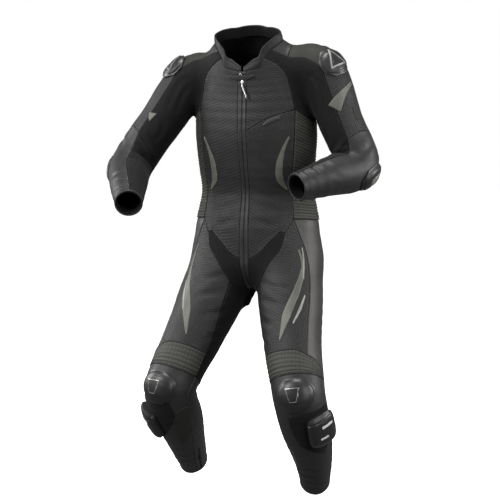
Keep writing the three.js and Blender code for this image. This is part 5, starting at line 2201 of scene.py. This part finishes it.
@dataclass
class Bindings:
    """Bound cuffs and hems, piping of the knee panels and the rows of stitches."""

    cloth: Cloth
    pieces: list[Piece] = field(default_factory=list)
    stitch_pitch: float = 3.6
    stitch_offset: float = 3.3
    stitch_half: float = 1.25
    thread_half: float = 0.34

    SEWN = (
        "collar_front", "raglan_front", "chest", "side_front", "thigh_front", "thigh_inner", "hip_front", "hip",
        "raglan_back", "back_upper", "back_lower", "seat_side", "seat_fold", "thigh_back", "knee_top",
        "knee_top_outer", "shin_top", "shin_outer_top", "shin_back_outer", "shin_back_inner", "shin_inner",
        "shin_outer", "calf_back", "stretch_yoke", "stretch_mesh", "stretch_outer", "back_yoke", "back_mesh",
        "back_outer", "yoke_end", "mesh_end", "elbow_outer", "elbow_under", "fore_a", "fore_b", "fore_c",
        "band_outer", "band_inner", "zip_chest", "zip_belly",
    )
    CUFF = ("cuff_outer", "cuff_under", "cuff_inner")
    HEM = ("hem_front", "hem_outer", "hem_inner")
    PIPED = (("knee_piping", ("knee_top", "knee_top_outer")), ("shin_piping", ("shin_top",)))
    STITCH_FACES = ((0, 2, 4), (2, 1, 4), (1, 3, 4), (3, 0, 4), (2, 0, 5), (1, 2, 5), (3, 1, 5), (0, 3, 5))

    def build(self) -> None:
        """Makes them on both sides."""
        for side in Side:
            seams, suffix = self.cloth.seams[side], f"_{side.word}"
            self._rim("cuff_binding" + suffix, chain(seams, self.CUFF), FORM.sleeves[side].section(5).along)
            self._rim("hem_binding" + suffix, chain(seams, self.HEM), FORM.legs[side].section(7).along)
            for name, names in self.PIPED:
                line = spaced(chain(seams, names), np.linspace(0.01, 0.99, 70))
                obj = sweep(name + suffix, SKIN.on(line, -0.9), FORM.normal(line), round_profile(3.4, 3.2, 10))
                self.pieces.append(finish_piece(obj, LEATHER))
            pit = np.vstack([seams["armpit_front"], seams["armpit_back"][1:]])
            under = spaced(seams["underarm"], np.linspace(0, 0.4, 30))
            for name, path, width in (("armpit_tape", pit, 15.0), ("underarm_tape", under, 12.0)):
                line = spaced(path, np.linspace(0, 1, 40))
                patch = Patch.ribbon(line, np.full(len(line), width), 5)
                self.pieces.append(Strip(name, STRETCH, (), 0.9).lay(patch, suffix))
            self._stitches(seams, suffix)

    def _rim(self, name: str, ring: Array, along: Array) -> None:
        """Rounded leather edge round an open end, and the dark lining that shows inside it.

        Args:
            name: The binding's name.
            ring: Points round the open end.
            along: Direction out of it.
        """
        path = spaced(ring, np.linspace(0, 1, 73))[:-1]
        normal = FORM.normal(path)
        up = unit(np.cross(normal, unit(np.roll(path, -1, 0) - np.roll(path, 1, 0))))
        up = up * np.sign(up @ along)[:, None]
        obj = sweep(name, path - normal * 0.9, up, round_profile(5.2, 7.5, 14, 0.8, -4.5), True)
        self.pieces.append(finish_piece(obj, LEATHER))
        depth = np.array([-34, -24, -14, -5, 1.5])[None, :, None]
        grid = (path - normal * 4.2)[:, None] + depth * along - normal[:, None] * 0.03 * depth
        both = np.concatenate([grid, (grid - normal[:, None] * 1.2)[:, ::-1]], axis=1)
        obj = tube(name.replace("binding", "lining"), both, True)
        self.pieces.append(finish_piece(obj, LINING))

    def _stitches(self, seams: dict[str, Array], suffix: str) -> None:
        """Short thread bars in a row on both sides of the sewn seams.

        Args:
            seams: The seams of one side.
            suffix: End of the piece's name.
        """
        starts, ends, normals = [], [], []
        for name in self.SEWN:
            line = seams[name]
            count = max(2, round(line_length(line) / self.stitch_pitch))
            middle = spaced(line, (np.arange(count) + 0.5) / count)
            ahead = unit(np.gradient(middle, axis=0))
            normal = FORM.normal(middle)
            side = np.cross(ahead, normal)
            for hand in (-1, 1):
                p = FORM.settle(middle + side * hand * self.stitch_offset, 1)
                p = p + FORM.normal(p) * (SKIN.height(p) + 0.36)[:, None]
                starts.append(p - ahead * self.stitch_half)
                ends.append(p + ahead * self.stitch_half)
                normals.append(normal)
        a, b, n = np.vstack(starts), np.vstack(ends), np.vstack(normals)
        side = unit(np.cross(b - a, n)) * self.thread_half
        middle = (a + b) / 2
        bar = [a - n * 0.15, b - n * 0.15, middle + side, middle - side, middle + n * 0.3, middle - n * 0.3]
        obj = blocks("stitching" + suffix, np.stack(bar, 1), self.STITCH_FACES)
        self.pieces.append(finish_piece(obj, THREAD))


@dataclass
class Stage:
    """Pale floor, soft lights and the camera at the photo's angle, in metres and watts."""

    target: Triple = (0.0, 0.0, -0.6)
    eye: Triple = (1.638, -4.5, -0.265)
    lens: float = 115.2
    sensor: float = 36
    floor_height: float = -1.372
    floor_size: float = 60

    # Each lamp's name, place, size and power
    LAMPS = (
        ("key", (-1.9, -3.1, 1.3), 1.6, 124),
        ("fill", (3.4, -2.4, 0.2), 2.0, 56),
        ("edge_left", (-2.8, -0.2, 0.3), 1.4, 60),
        ("edge_right", (3.0, 0.6, 0.2), 1.4, 66),
        ("top", (0.1, -0.5, 2.4), 1.4, 80),
    )

    def build(self) -> None:
        """Sets the stage up."""
        self._floor()
        self._world()
        for lamp in self.LAMPS:
            self._light(*lamp)
        self._camera()

    def _floor(self) -> None:
        """A wide plane well below the feet."""
        bpy.ops.mesh.primitive_plane_add(size=self.floor_size, location=(0, 0, self.floor_height))
        floor = bpy.context.object
        floor.name = "floor"
        r = Recipe("pale_floor")
        r.feed(Base_Color=(0.93, 0.93, 0.93, 1), Roughness=0.9)
        r.feed(Emission_Color=(1, 1, 1, 1), Emission_Strength=0.95)
        floor.data.materials.append(r.material)
        floor.visible_diffuse = floor.visible_glossy = False

    @staticmethod
    def _world() -> None:
        """An even white surround."""
        world = bpy.data.worlds.new("surround")
        world.use_nodes = True
        nodes, links = world.node_tree.nodes, world.node_tree.links
        back = nodes["Background"]
        back.inputs[0].default_value = (1, 1, 1, 1)
        seen = nodes.new("ShaderNodeLightPath")
        level = nodes.new("ShaderNodeMapRange")
        level.inputs["To Min"].default_value = 0.2
        links.new(seen.outputs["Is Camera Ray"], level.inputs["Value"])
        links.new(level.outputs[0], back.inputs["Strength"])
        bpy.context.scene.world = world
        bpy.context.scene.view_settings.view_transform = "Standard"

    def _aim(self, obj: Piece) -> None:
        """Points a light or camera at the suit.

        Args:
            obj: The light or camera.
        """
        target = type(obj.location)(self.target)
        obj.rotation_euler = (target - obj.location).to_track_quat("-Z", "Y").to_euler()

    def _light(self, name: str, place: Triple, size: float, power: float) -> None:
        """A square soft light.

        Args:
            name: Its name.
            place: Its place.
            size: Length of its side.
            power: Its power.
        """
        data = bpy.data.lights.new(name, "AREA")
        data.size, data.energy = size, power
        lamp = bpy.data.objects.new(name, data)
        lamp.location = place
        bpy.context.scene.collection.objects.link(lamp)
        self._aim(lamp)

    def _camera(self) -> None:
        """The camera, with the photo's angle and frame."""
        data = bpy.data.cameras.new("camera")
        data.lens, data.sensor_width = self.lens, self.sensor
        camera = bpy.data.objects.new("camera", data)
        camera.location = self.eye
        bpy.context.scene.collection.objects.link(camera)
        self._aim(camera)
        bpy.context.scene.camera = camera


@dataclass
class Suit:
    """The whole suit from its sub-assemblies."""

    cloth: Cloth = field(default_factory=Cloth)

    def build(self) -> None:
        """Builds every part of the suit in order and reports it."""
        dressing = (Collar(self.cloth), FrontClosure(self.cloth), Bindings(self.cloth), Trims(), HardShells())
        for part in (self.cloth, *dressing):
            part.build()
            LOG.info("%s: %d pieces", type(part).__name__, len(part.pieces))


def main() -> None:
    """Builds the suit and its stage."""
    logging.basicConfig(level=logging.INFO, format="%(message)s")
    Suit().build()
    Stage().build()


if __name__ == "__main__":
    main()
